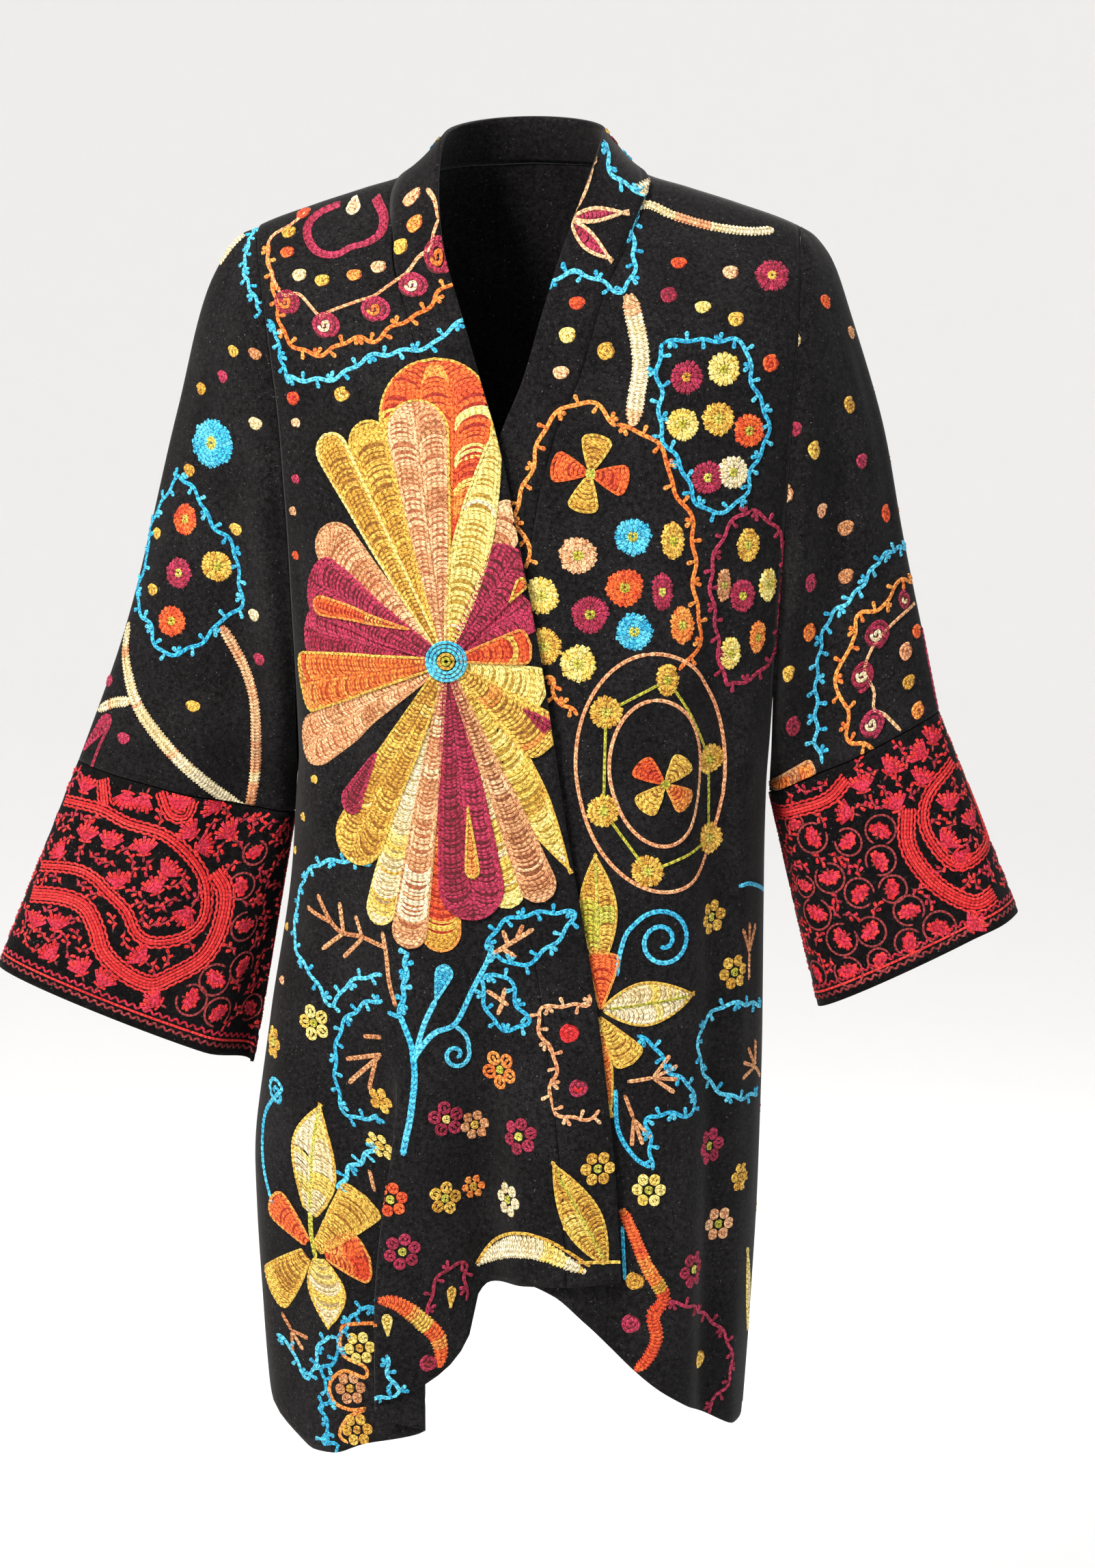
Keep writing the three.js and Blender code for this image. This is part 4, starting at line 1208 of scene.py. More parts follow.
def pinwheel(work, centre, reach, yarns, inner, turn, width):
    """Four broad-ended petals set crosswise."""
    centre = np.asarray(centre, float)
    for k in range(4):
        angle = turn + k * np.pi / 2
        out = np.array([math.cos(angle), math.sin(angle)]) * reach
        yarn = yarns[k % len(yarns)]
        petal(work, centre + out * 0.1, centre + out, width, yarn, [yarn], blunt=0.22, belly=0.9, foot=0.22)
    wheel(work, centre, 4.6, inner, inner)


# The great flower: where each petal's tip shows, its width, its outline, its fill, and how blunt its end is.
GREAT_CENTRE = (-53, -362)
GREAT_PETALS = (
    (-62, -136, 76, "gold", ("flame", "gold", "orange", "straw"), 0.42),
    (-12, -176, 26, "straw", ("straw", "cream", "straw"), 1.0),
    (-2, -243, 26, "peach", ("peach", "cream", "tan"), 0.6),
    (-116, -183, 31, "gold", ("gold",), 0.45),
    (-144, -193, 25, "straw", ("gold", "straw", "cream"), 0.6),
    (-78, -167, 43, "gold", ("peach", "cream", "peach", "tan"), 0.36),
    (-147, -264, 34, "tan", ("peach", "tan"), 0.5),
    (2, -280, 34, "plum", ("plum",), 0.2),
    (8, -318, 36, "plum", ("plum",), 0.12),
    (-154, -300, 42, "plum", ("plum",), 0.12),
    (-158, -338, 32, "plum", ("plum",), 0.12),
    (10, -350, 24, "orange", ("flame", "orange", "gold"), 0.12),
    (-160, -378, 42, "gold", ("orange", "flame", "gold"), 0.14),
    (20, -388, 34, "straw", ("straw", "gold"), 0.16),
    (26, -424, 34, "gold", ("gold", "orange"), 0.2),
    (-158, -428, 38, "tan", ("peach", "tan", "tan"), 0.3),
    (-125, -510, 42, "gold", ("gold", "straw"), 0.42),
    (-105, -558, 23, "straw", ("cream", "straw", "gold"), 0.4),
    (-82, -576, 25, "tan", ("peach", "tan", "cream"), 0.3),
    (-58, -579, 28, "orange", ("flame", "orange", "gold"), 0.3),
    (-32, -555, 44, "plum", ("plum",), 0.36),
    (40, -520, 32, "gold", ("straw", "cream", "gold"), 0.9),
    (-5, -546, 25, "straw", ("straw", "cream"), 0.3),
    (20, -541, 25, "tan", ("tan", "peach"), 0.3),
)
GREAT_INLAYS = (
    (-80, -338, -150, -318, 16, "orange", ("flame", "orange", "gold"), 0.5),
    (-104, -430, -126, -474, 22, "plum", ("plum",), 0.5),
    (-37, -470, -33, -524, 12, "gold", ("orange",), 0.6),
    (-6, -318, 6, -300, 10, "gold", ("orange", "flame"), 0.3),
    (4, -397, 24, -412, 12, "plum", ("plum",), 0.2),
)


def great_flower(work, centre, petals, inlays, place):
    centre = place(*centre)
    tips = np.array([place(x, z) for x, z, *_ in petals])
    ranks = np.argsort(np.argsort(np.arctan2(*(tips - centre).T[::-1])))
    over = (ranks - ranks[0]) % 2
    for (x, z, width, edge, fills, blunt), tip, level in zip(petals, tips, over):
        base = centre + (tip - centre) * 8 / np.hypot(*(tip - centre))
        petal(work, base, tip, width * 1.12, edge, fills, blunt=blunt, foot=0.2, lift=1.15 * level)
    for x0, z0, x1, z1, width, edge, fills, blunt in inlays:
        petal(work, place(x0, z0), place(x1, z1), width, edge, fills, blunt=blunt, lift=2.3)
    for radius, yarn in ((14.0, "sky"), (11.2, "sky"), (8.4, "sky"), (5.4, "gold"), (2.6, "lime")):
        work.row(round_path(centre, radius), 3.1, yarn, 1.5, lift=2.7, link=4.0)


def stitch_front_right(work):
    way, place = work.way, work.place

    # The shoulder: a plum ring, a vine of discs, and two thorned stems under it.
    collar = way((-104, -13), (-98, -28), (-100, -42), (-110, -50), (-124, -54), (-136, -60), (-150, -58),
            (-158, -48),
                 (-158, -36), (-148, -26), (-132, -19))
    for k in range(3):
        drawn = collar + (collar.mean(0) - collar) * (0.07 * k)
        work.row(smooth_path(drawn), 3.2, "plum", shade=0.3 + 0.3 * k)
    petal(work, place(-120, -14), place(-123, -28), 12, "cream", ("peach",))
    discs = [(-173, -94), (-144, -111), (-107, -99), (-79, -81), (-60, -59)]
    joint = way((-156, -26), (-169, -36), (-184, -46), (-186, -62), (-179, -84), (-173, -89), (-163, -88),
            (-148, -104),
                (-141, -101), (-119, -93), (-107, -89), (-97, -82), (-82, -71), (-74, -60), (-65, -54),
                (-63, -43),
                (-59, -32))
    vine(work, joint, "peach", 3.0)
    for k, (x, z) in enumerate(discs):
        coil(work, place(x, z), 11.5, "plum", "cream" if k % 2 else "orange")
    vine(work, way((-59, -32), (-62, -18), (-68, -9)), "peach", 3.0)
    dots = [(-171, -42, "gold"), (-160, -28, "flame"), (-172, -57, "flame"), (-163, -74, "cream"),
            (-146, -78, "gold"),
            (-122, -74, "orange"), (-104, -68, "peach"), (-87, -54, "gold"), (-77, -36, "orange"),
            (-79, -16, "peach")]
    for x, z, yarn in dots:
        wheel(work, place(x, z), 6.8, yarn, yarn, 0.8)
    thorned(work,
            way((-187, -50), (-182, -84), (-173, -120), (-149, -133), (-123, -121), (-108, -123), (-91, -111),
                      (-70, -101), (-58, -86), (-45, -77)), "orange")
    thorned(work,
            way((-174, -150), (-156, -152), (-135, -150), (-111, -135), (-94, -132), (-64, -126), (-50, -113),
                      (-33, -105)), "sky")
    thorned(work, way((-187, -107), (-181, -115), (-177, -134), (-172, -152)), "sky", 3.6, 9)
    wheel(work, place(-131, -163), 7.5, "gold", "straw", 0.8)
    wheel(work, place(-168, -166), 6.0, "flame", "red")
    for x, z, yarn in ((-166, -184, "peach"), (-166, -226, "plum"), (-168, -250, "tan"),
            (-166, -283, "flame"),
                       (-153, -322, "straw"), (-152, -450, "gold"), (-160, -478, "gold"),
                       (-166, -503, "straw"),
                       (-172, -560, "gold"), (-176, -600, "peach")):
        wheel(work, place(x, z), 5.0, yarn, yarn, 0.7)
    great_flower(work, GREAT_CENTRE, GREAT_PETALS, GREAT_INLAYS, place)

    # Leaves drawn in sky-blue thorned outline, each with twigs inside.
    def twigs(*paths):
        for path in paths:
            work.row(smooth_path(way(*path)), 4.2, "tan", link=4.2)

    thorned(work,
            way((-109, -513), (-136, -511), (-153, -516), (-162, -533), (-166, -560), (-164, -579),
                (-153, -597),
                      (-139, -619), (-130, -606), (-116, -598), (-101, -597)), "sky")
    twigs(((-91, -620), (-96, -601), (-98, -582), (-101, -564)),
          ((-98, -576), (-116, -568), (-130, -565), (-139, -557), (-149, -536)), ((-139, -557), (-157, -545)),
          ((-130, -565), (-133, -542)), ((-130, -565), (-146, -577)), ((-116, -568), (-121, -552)),
          ((-116, -569), (-130, -583)))
    thorned(work,
            way((-101, -615), (-112, -617), (-120, -622), (-131, -634), (-136, -656), (-134, -683),
                (-126, -702),
                      (-104, -702)), "sky")
    twigs(((-102, -643), (-115, -642)), ((-102, -656), (-128, -659)), ((-103, -657), (-126, -677)),
          ((-106, -661), (-111, -682)))
    thorned(work,
            way((-23, -578), (-19, -566), (-7, -555), (18, -550), (42, -551), (29, -571), (15, -582),
                (4, -590),
                      (-9, -585), (-23, -578)), "sky")
    twigs(((-19, -581), (12, -562)), ((-7, -574), (-11, -563)), ((-1, -570), (4, -559)),
            ((-11, -577), (-1, -583)))
    thorned(work, way((-26, -598), (-7, -598), (-1, -617), (8, -632), (-9, -637), (-20, -628), (-26, -611),
                      (-26, -598)), "sky")
    twigs(((-7, -619), (-23, -608)), ((-12, -616), (-9, -606)), ((-11, -617), (-15, -626)))

    # The sky-blue tree.
    stem = way((-86, -731), (-83, -716), (-80, -702), (-77, -675), (-78, -658), (-80, -647), (-88, -626))
    work.row(smooth_path(stem), 5.8, "sky")
    thorned(work, way((-88, -627), (-84, -601), (-83, -579)), "sky", 4.8, 9)
    work.row(way((-88, -628), (-97, -624)), 4.2, "sky")
    work.row(smooth_path(way((-78, -662), (-70, -634), (-61, -615))), 4.8, "sky")
    petal(work, place(-61, -616), place(-53, -589), 14, "sky", ("sky",), blunt=0.4)
    work.row(smooth_path(way((-78, -660), (-70, -648), (-61, -639), (-46, -632), (-33, -606), (-23, -587),
                             (-19, -576))), 4.8, "sky")
    curl(work, place(-46, -656), 11, "sky", 1.3, 0.5, way((-47, -634), (-39, -641), (-36, -650)), 4.0, -1)

    # The tan scroll by the opening and the flowers strewn above the hem.
    thorned(work,
            way((53, -611), (51, -619), (32, -619), (16, -624), (18, -642), (29, -661), (24, -688),
                (34, -702),
                      (55, -703), (62, -698)), "peach", 3.4, 11)
    for x, z, yarn in ((39, -640, "red"), (46, -681, "plum")):
        wheel(work, place(x, z), 8, yarn, "red")
    flowers = [(-53, -704, "plum", "straw", 14), (1, -717, "plum", "lime", 15),
            (-86, -803, "plum", "lime", 15),
               (-13, -667, "orange", "lime", 15), (-95, -764, "flame", "lime", 14),
               (-32, -708, "tan", "gold", 12),
               (-54, -763, "gold", "lime", 13), (-33, -754, "orange", "gold", 10),
               (60, -741, "gold", "lime", 14),
               (-152, -632, "straw", "lime", 14), (-182, -646, "gold", "lime", 13),
               (-7, -764, "cream", "lime", 14),
               (-102, -690, "gold", "gold", 10), (-103, -724, "straw", "gold", 11)]
    for k, (x, z, yarn, inner, size) in enumerate(flowers):
        blossom(work, place(x, z), yarn, inner, size, 6 if k % 3 else 5, 0.4 + k)
    petal(work, place(66, -812), place(26, -736), 30, "gold", ("gold", "straw", "gold"), "lime", blunt=0.75,
            belly=0.7)
    crescent = way((-30, -813), (-16, -803), (0, -799), (17, -802), (34, -810), (50, -818))
    arc_band(work, crescent, 17, ("cream", "straw", "gold"), 2.8, 0.75)
    work.row(smooth_path(way((-31, -812), (-17, -794), (0, -789), (18, -793), (36, -802), (54, -814))), 3.0,
            "gold")
    work.row(way((44, -811), (80, -811)), 3.0, "gold")

    # The lower corner by the side seam.
    curl(work, place(-180, -684), 11, "sky", 1.5, 0.4, way((-183, -768), (-190, -734), (-188, -700)), 3.6, 1)
    leaves = (
        (-155, -774, -147, -693, 35, "gold", ("cream", "straw"), "lime", 0.8),
        (-157, -796, -184, -762, 34, "orange", ("flame", "red"), None, 0.15),
        (-150, -801, -115, -762, 31, "gold", ("gold",), None, 0.14),
        (-144, -803, -110, -808, 40, "orange", ("flame", "orange"), None, 0.14),
        (-148, -808, -141, -860, 35, "gold", ("cream", "straw"), None, 0.7),
        (-158, -805, -183, -832, 37, "gold", ("gold",), None, 0.2),
    )
    for k, (x0, z0, x1, z1, width, edge, fills, vein, blunt) in enumerate(leaves):
        petal(work, place(x0, z0), place(x1, z1), width, edge, fills, vein, blunt, 0.95, 0.3, lift=0.05 * k)
    vine(work, way((-155, -773), (-154, -790), (-151, -808)), "lime", 5)
    thorned(work, way((-105, -723), (-118, -735), (-127, -742), (-134, -757)), "sky")
    work.row(way((-112, -742), (-107, -758)), 3.8, "tan")
    thorned(work, way((-180, -865), (-171, -871), (-164, -886), (-156, -898), (-151, -886), (-148, -873),
                      (-141, -865)), "sky")
    thorned(work,
            way((-107, -836), (-111, -845), (-120, -848), (-127, -857), (-134, -870), (-135, -883),
                (-146, -892),
                      (-140, -912), (-148, -921), (-141, -930), (-145, -944), (-133, -947)), "sky", spacing=9)
    sprig(work, place(-176, -848), -0.85, 32, "tan", 3, 0.7)
    work.row(smooth_path(way((-105, -858), (-121, -857), (-132, -865), (-130, -880), (-114, -889),
            (-114, -897),
                             (-130, -892), (-140, -901), (-137, -915), (-124, -921), (-113, -920),
                             (-127, -927),
                             (-133, -939), (-127, -946))), 3.6, "orange")
    for x, z, yarn in ((-118, -875, "straw"), (-125, -905, "tan"), (-120, -936, "gold")):
        blossom(work, place(x, z), yarn, "gold", 14, 6, 0.2)
    arc_band(work,
            way((-104, -839), (-92, -841), (-80, -848), (-69, -857), (-60, -866), (-57, -878), (-58, -888)),
            13,
             ("flame", "orange", "gold"))
    thorned(work,
            way((-67, -851), (-64, -833), (-58, -821), (-48, -813), (-38, -813), (-39, -822), (-38, -839)),
            "plum", 3.2, 12)
    petal(work, place(-50, -845), place(-49, -829), 8, "gold", ("gold",))
    petal(work, place(-97, -866), place(-98, -850), 9, "straw", ("straw",))
    wheel(work, place(-66, -886), 8, "plum", "wine")
    thorned(work, way((-98, -880), (-96, -898), (-91, -910), (-86, -915)), "sky", spacing=9)


def stitch_front_left(work):
    way, place = work.way, work.place

    # The neck and shoulder.
    knot = (38, -34)
    for x, z, width in ((58, 13, 8), (82, -27, 9), (70, -64, 11)):
        petal(work, place(*knot), place(x, z), width, "peach", ("plum",), blunt=0.9, belly=0.9)
    thorned(work,
            way((64, 27), (68, 14), (70, 2), (85, -9), (91, -23), (86, -41), (87, -57), (87, -69), (78, -86),
                      (61, -78), (45, -72), (25, -77)), "sky")
    arc_band(work, way((94, 2), (90, -10), (98, -21), (116, -29), (144, -37), (172, -41), (190, -40)), 7,
             ("cream", "peach", "tan"), 2.7, 0.1)
    arc_band(work, way((83, -88), (87, -106), (91, -125), (92, -143), (89, -162), (86, -184)), 12.5,
             ("cream", "cream", "peach"), 2.8, 0.1)
    dots = [(120, -65, "flame"), (159, -72, "peach"), (113, -89, "plum"), (138, -98, "straw"),
            (163, -107, "gold"),
            (189, -140, "flame"), (44, -95, "flame"), (37, -119, "straw"), (66, -131, "gold"),
            (32, -147, "peach")]
    for k, (x, z, yarn) in enumerate(dots):
        wheel(work, place(x, z), 6.2 + (k % 3) * 0.5, yarn, yarn)
    wheel(work, place(190, -74), 13, "plum", "gold")

    # The sky-blue loop with discs.
    thorned(work,
            way((109, -125), (124, -122), (144, -123), (161, -122), (172, -131), (174, -149), (180, -165),
                      (187, -183), (184, -202), (175, -217), (172, -233), (163, -245), (147, -251),
                      (135, -245),
                      (129, -233), (121, -214), (110, -199), (106, -183), (107, -162), (104, -143),
                      (109, -125)), "sky")
    for x, z, outer, inner in ((126, -150, "plum", "gold"), (154, -144, "straw", "lime"),
            (123, -185, "straw", "lime"),
                               (150, -181, "gold", "lime"), (173, -190, "flame", "lime"),
                               (142, -225, "plum", "lime"),
                               (161, -221, "cream", "lime")):
        wheel(work, place(x, z), 11.8, outer, inner)

    # The orange loop with a pinwheel and discs.
    thorned(work,
            way((74, -186), (57, -170), (39, -171), (20, -188), (11, -217), (2, -238), (-3, -256), (3, -265),
                      (9, -283), (7, -293)), "orange", 3.8, 15)
    thorned(work, way((74, -186), (98, -194), (112, -213), (116, -235), (128, -250), (132, -283), (132, -313),
                      (137, -339), (132, -357), (120, -368)), "orange", 3.8, 15)
    pinwheel(work, place(54, -222), 28, ("gold", "flame", "gold", "flame"), "lime", 1.36, 23)
    for x, z, outer, squash in ((86, -269, "sky", 1), (116, -272, "gold", 0.62), (45, -283, "peach", 1),
                                (18, -313, "straw", 1), (54, -327, "plum", 1), (80, -307, "flame", 1),
                                (108, -310, "plum", 0.55), (87, -340, "sky", 1), (123, -335, "orange", 0.65),
                                (20, -351, "gold", 1), (45, -364, "straw", 1)):
        wheel(work, place(x, z), 13.4, outer, "lime", squash, 1.57)
    thorned(work, way((20, -374), (27, -377), (27, -390), (36, -395), (45, -402)), "orange", 3.8, 8)

    # The plum loop further round.
    thorned(work,
            way((174, -249), (162, -256), (148, -280), (144, -305), (148, -334), (152, -368), (157, -380)),
            "plum",
            3.6, 13)
    thorned(work,
            way((174, -249), (192, -261), (200, -280), (201, -309), (196, -339), (193, -354), (177, -373),
                      (157, -380)), "plum", 3.6, 13)
    for x, z, outer, squash in ((172, -275, "gold", 0.75), (154, -305, "tan", 0.5), (168, -313, "plum", 0.8),
                                (187, -305, "straw", 0.7), (159, -356, "straw", 0.65),
                                (179, -344, "orange", 0.65)):
        wheel(work, place(x, z), 12, outer, "lime", squash, 1.57)

    # Two ovals joined by discs on a lime thread.
    for x, z, reach, squash in ((107, -446, 90, 0.69), (107, -446, 56, 0.67)):
        work.row(round_path(place(x, z), reach, squash, 90, 1.68), 3.4, "peach")
    between = way((66, -400), (112, -376), (143, -435), (143, -494), (97, -519), (64, -474))
    work.row(np.array([*between, between[0]]), 2.6, "lime")
    for k, spot in enumerate(between):
        wheel(work, spot, 12, "gold", "lime", 0.7 if k == 1 else 1, 1.57)
    pinwheel(work, place(110, -454), 26, ("gold", "flame", "gold", "orange"), "lime", 0.85, 21)

    # Leaves down the opening, and what is strewn above the hem.
    petal(work, place(61, -582), place(58, -506), 29, "gold", ("gold", "lime"), "lime", blunt=0.85, foot=0.45)
    petal(work, place(62, -622), place(64, -579), 26, "orange", ("flame", "orange"), blunt=0.14)
    petal(work, place(64, -622), place(131, -610), 34, "gold", ("cream", "straw"), "lime", blunt=0.72)
    petal(work, place(61, -628), place(86, -662), 26, "gold", ("gold",), None, 0.12)
    petal(work, place(60, -628), place(70, -702), 13, "gold", ("orange", "flame", "straw"), None, 0.9)
    curl(work, place(108, -571), 24, "sky", 1.7, 2.5, way((74, -597), (76, -582), (81, -566)), 4.2, -1)
    thorned(work, way((89, -642), (103, -650), (113, -668), (129, -680), (131, -699), (111, -700), (97, -704),
                      (99, -720), (100, -742)), "sky", spacing=11)
    vine(work, way((73, -682), (75, -712), (87, -732), (99, -740)), "sky", 4.2)
    sprig(work, place(82, -676), 0.15, 38, "tan", 4, 0.5)
    sprig(work, place(80, -686), -1.2, 38, "tan", 3, 0.4)
    thorned(work,
            way((181, -618), (159, -618), (141, -630), (135, -644), (137, -664), (147, -680), (163, -688),
                      (179, -684)), "sky", spacing=13)
    sprig(work, place(181, -672), 2.5, 38, "tan", 4, 0.6)
    sprig(work, place(173, -600), 1.6, 42, "tan", 3, 0.5)
    vine(work, way((165, -530), (174, -528), (185, -533)), "sky", 4)
    petal(work, place(172, -862), place(171, -800), 11, "straw", ("cream", "straw"), blunt=0.7)
    flowers = [(145, -553, "gold", "lime", 14), (162, -594, "gold", "lime", 14),
            (143, -724, "plum", "lime", 15),
               (131, -816, "plum", "lime", 15), (98, -757, "straw", "lime", 14),
               (150, -782, "peach", "lime", 14),
               (60, -741, "gold", "lime", 14), (166, -747, "gold", "gold", 12)]
    for k, (x, z, yarn, inner, size) in enumerate(flowers):
        blossom(work, place(x, z), yarn, inner, size, 6, 0.2 + k)
    arc_band(work, way((78, -771), (87, -791), (97, -815), (107, -831), (109, -840), (101, -851), (104, -867),
                       (97, -883), (89, -891)), 10.5, ("flame", "orange", "gold", "flame"), 2.7, 0.3)
    vine(work, way((78, -784), (79, -804), (80, -824)), "sky", 3.2)
    thorned(work,
            way((111, -841), (127, -843), (141, -851), (153, -863), (159, -879), (157, -899), (145, -915),
                      (141, -931)), "plum", 3.2, 12)
    for x, z, yarn in ((88, -825, "gold"), (85, -857, "plum"), (136, -883, "gold")):
        wheel(work, place(x, z), 8, yarn, yarn)


def ribbon(work, path, rows, yarn="red", step=2.3):
    """Rows of fine chain stitch side by side, with a scalloped row along each edge."""
    path = smooth_path(path, 1.5)
    length = run_of(path)
    for k in range(rows):
        offset = (k - (rows - 1) / 2) * step
        tone = 0.2 + 0.7 * (k % 2)
        work.row(beside(path, offset), step * 0.98, yarn, 1.3, tone, 3.2, fill=True)
    for side in (1, -1):
        wave = np.abs(np.sin(length * np.pi / 6)) * 1.3 + 0.7 + (rows / 2) * step
        work.row(beside(path, side * wave), 1.9, yarn, 1.1, 0.5, 2.8, fill=True)


def carnation(work, centre, radius, angle, spread=0.78):
    """A fan-shaped flower, crimson in the middle with a red rim, on a short stalk with two leaves."""
    apex = np.asarray(centre, float) - turned((radius * 0.7 * math.cos(spread * 0.6), 0), angle)
    rays = 7 if spread < 1 else 9
    tone = work.chance.random()
    for k in range(rays):
        turn = angle + spread * (2 * k / (rays - 1) - 1)
        reach = radius * (1.5 if spread < 1 else 1.15) * (1.0 if k % 2 else 0.88)
        crimson = [apex + turned((reach * share, 0), turn) for share in (0.05, 0.75)]
        red = [apex + turned((reach * share, 0), turn) for share in (0.62, 1.0)]
        work.row(crimson, np.array([1.2, 3.2]), "crimson", 1.0, 1.2 * work.chance.random(), 3.0, fill=True)
        work.row(red, 3.1, "red" if k % 3 else "crimson", 1.25, tone, 2.6, fill=True, ends=0.8)
    foot = apex - turned((radius * 0.5, 0), angle)
    work.row([foot, apex], 2.0, "wine", link=3.0, fill=True)
    for side in (1, -1):
        leaf = apex + turned((radius * 0.55, 0), angle + side * (spread + 0.55))
        work.row([apex, leaf], np.array([1.4, 2.6]), "red", 1.0, link=3.0, fill=True)


def scroll(work, centre, radius, angle, yarn="wine"):
    """A thin stem that winds round a flower."""
    turn = np.linspace(0, 1.75 * np.pi, 22)
    path = np.asarray(centre, float) + turned(np.stack([np.cos(turn), np.sin(turn)], -1) * radius, angle)
    work.row(path, 1.9, yarn, 0.9, 0.9, 3.4, fill=True)
    carnation(work, np.asarray(centre, float), radius * 0.74, angle + 2.4, 1.45)


def sprout(work, base, angle, reach):
    """A forked scrap of stem with little leaves, which fills the ground between the flowers."""
    base = np.asarray(base, float)
    bent = np.array([[0, 0], [reach * 0.5, reach * 0.14], [reach, -reach * 0.1]])
    work.row(smooth_path(base + turned(bent, angle), 1.2), 1.8, "wine", 0.8, 0.6, 3.0, fill=True)
    for share, side in ((0.2, 1), (0.45, -1), (0.7, 1), (0.95, -1)):
        spot = base + turned((reach * share, 0), angle)
        tip = spot + turned((reach * 0.36, 0), angle + side * 0.85)
        yarn = ("red", "crimson")[int(work.chance.random() < 0.4)]
        work.row([spot, tip], np.array([1.8, 3.6]), yarn, 1.2, work.chance.random(), 2.6, fill=True, ends=0.7)


# The red cuffs, as seen: ribbons, each a number of rows and its places; flowers, each with
# the angle at which it points; and scrolls, each with its radius.
CUFF_RIBBONS = {
    "right": (
        (2, ((-340, -465), (-312, -472), (-290, -483), (-266, -491), (-249, -504), (-236, -522), (-233, -541),
             (-238, -558), (-253, -569), (-272, -572), (-283, -565), (-294, -548), (-307, -533), (-316, -524),
             (-331, -517), (-355, -515))),
        (4, ((-362, -536), (-340, -538), (-325, -545), (-314, -561), (-307, -580), (-294, -595), (-275, -603),
             (-257, -598), (-238, -585), (-225, -569), (-219, -548), (-220, -532), (-225, -519))),
        (3, ((-309, -450), (-308, -470))),
        (2, ((-267, -459), (-260, -476), (-249, -478), (-242, -466))),
    ),
    "left": (
        (3, ((182, -471), (209, -473), (232, -465), (246, -450))),
        (4, ((291, -472), (291, -498), (303, -519), (321, -535), (342, -543), (356, -535))),
        (2, ((324, -436), (308, -459), (303, -480), (310, -498), (326, -514), (342, -509), (350, -493),
            (346, -470),
             (338, -452))),
    ),
}
CUFF_FLOWERS = {
    "right": ((-322, -491, 1.4), (-304, -496, 1.5), (-279, -501, 1.2), (-271, -530, 0.8), (-261, -518, 2.0),
              (-250, -552, -1.3), (-283, -582, 0.4), (-297, -526, 1.2), (-216, -489, 0.6), (-235, -500, 2.6),
              (-246, -489, 0.4), (-360, -556, 1.6), (-343, -558, 1.4), (-349, -580, 0.6), (-325, -591, 0.9),
              (-308, -600, 1.8), (-273, -615, 0.2), (-281, -467, -1.5), (-293, -465, -1.6), (-253, -467, 1.5),
              (-342, -504, 0.4), (-322, -455, 1.5), (-226, -470, 0.2)),
    "left": ((257, -454, 1.4), (279, -441, 0.6), (282, -468, 1.6), (302, -449, 0.8), (245, -475, 2.6),
             (322, -467, 1.2), (321, -496, 0.4), (331, -509, -1.0), (341, -558, 0.3), (310, -418, 1.0),
             (300, -430, 2.2), (338, -480, 1.6)),
}
CUFF_SCROLLS = {
    "right": ((-244, -615, 13), (-226, -600, 13), (-224, -624, 12), (-206, -530, 11), (-204, -560, 12),
              (-206, -590, 12), (-200, -620, 11), (-196, -505, 10)),
    "left": ((220, -494, 13), (247, -497, 12), (271, -488, 13), (200, -508, 13), (233, -524, 13),
        (271, -511, 13),
             (255, -535, 13), (223, -551, 14), (280, -532, 12), (292, -548, 13), (242, -570, 14),
             (264, -564, 13),
             (315, -561, 14), (292, -572, 12), (247, -594, 13), (224, -595, 11), (270, -585, 10),
             (214, -530, 10),
             (214, -571, 9), (206, -484, 9), (343, -445, 9)),
}


def stitch_cuff(work, name):
    way = work.way

    filled = []
    for rows, path in CUFF_RIBBONS[name]:
        path = way(*path)
        ribbon(work, path, rows)
        filled += [(spot, 3 + rows * 1.3) for spot in smooth_path(path, 3.0)]
    for x, z, angle in CUFF_FLOWERS[name]:
        centre = work.place(x, z)
        carnation(work, centre, 10.4, angle)
        filled.append((centre, 9.5))
    for k, (x, z, radius) in enumerate(CUFF_SCROLLS[name]):
        centre = work.place(x, z)
        scroll(work, centre, radius * 0.88, 0.8 + k * 1.9)
        filled.append((centre, radius))
    piece = work.cloth.pieces[0][0]
    wide = piece.s[-1].max() - 6
    top, low = piece.t.max() - 8, piece.t.min() + 12
    grow = 21.0
    face = -seen_side(work)
    spots = [(s, t) for s in np.arange(8, wide, grow) for t in np.arange(top, low, -grow)]
    for k, (s, t) in enumerate(spots):
        centre = np.array([face * s, t + grow / 2 * (round(s / grow) % 2)]) + work.chance.uniform(-1.5, 1.5,
                2)
        scroll(work, centre, 9.6, work.chance.uniform(0, 6))
        filled.append((centre, 9.5))
    centres, reaches = np.array([spot for spot, _ in filled]), np.array([reach for _, reach in filled])
    for s in np.arange(-wide, wide, 7.0):
        hem = np.interp(s, piece.s[-1], piece.t[-1]) + 26
        for t in np.arange(top, hem, -7.0):
            spot = np.array([s, t]) + work.chance.uniform(-2, 2, 2)
            room = (np.hypot(*(centres - spot).T) - reaches).min()
            if room > 2.5:
                angle = work.chance.uniform(0, 6.28)
                sprout(work, spot - turned((6, 0), angle), angle, 12)
                centres, reaches = np.vstack([centres, spot]), np.append(reaches, 6.0)
    for offset, yarn, wavy in ((7, "wine", 1.4), (11, "red", 0), (15, "crimson", 1.5)):
        s = np.linspace(-wide - 10, wide + 10, 420)
        level = np.interp(s, piece.s[-1], piece.t[-1]) + offset
        path = np.stack([s, level + wavy * np.sin(s * 2 * np.pi / 7)], -1)
        for start in range(0, 400, 60):
            work.row(path[start : start + 61], 2.0, yarn, link=3.4, height=0.9, fill=True)


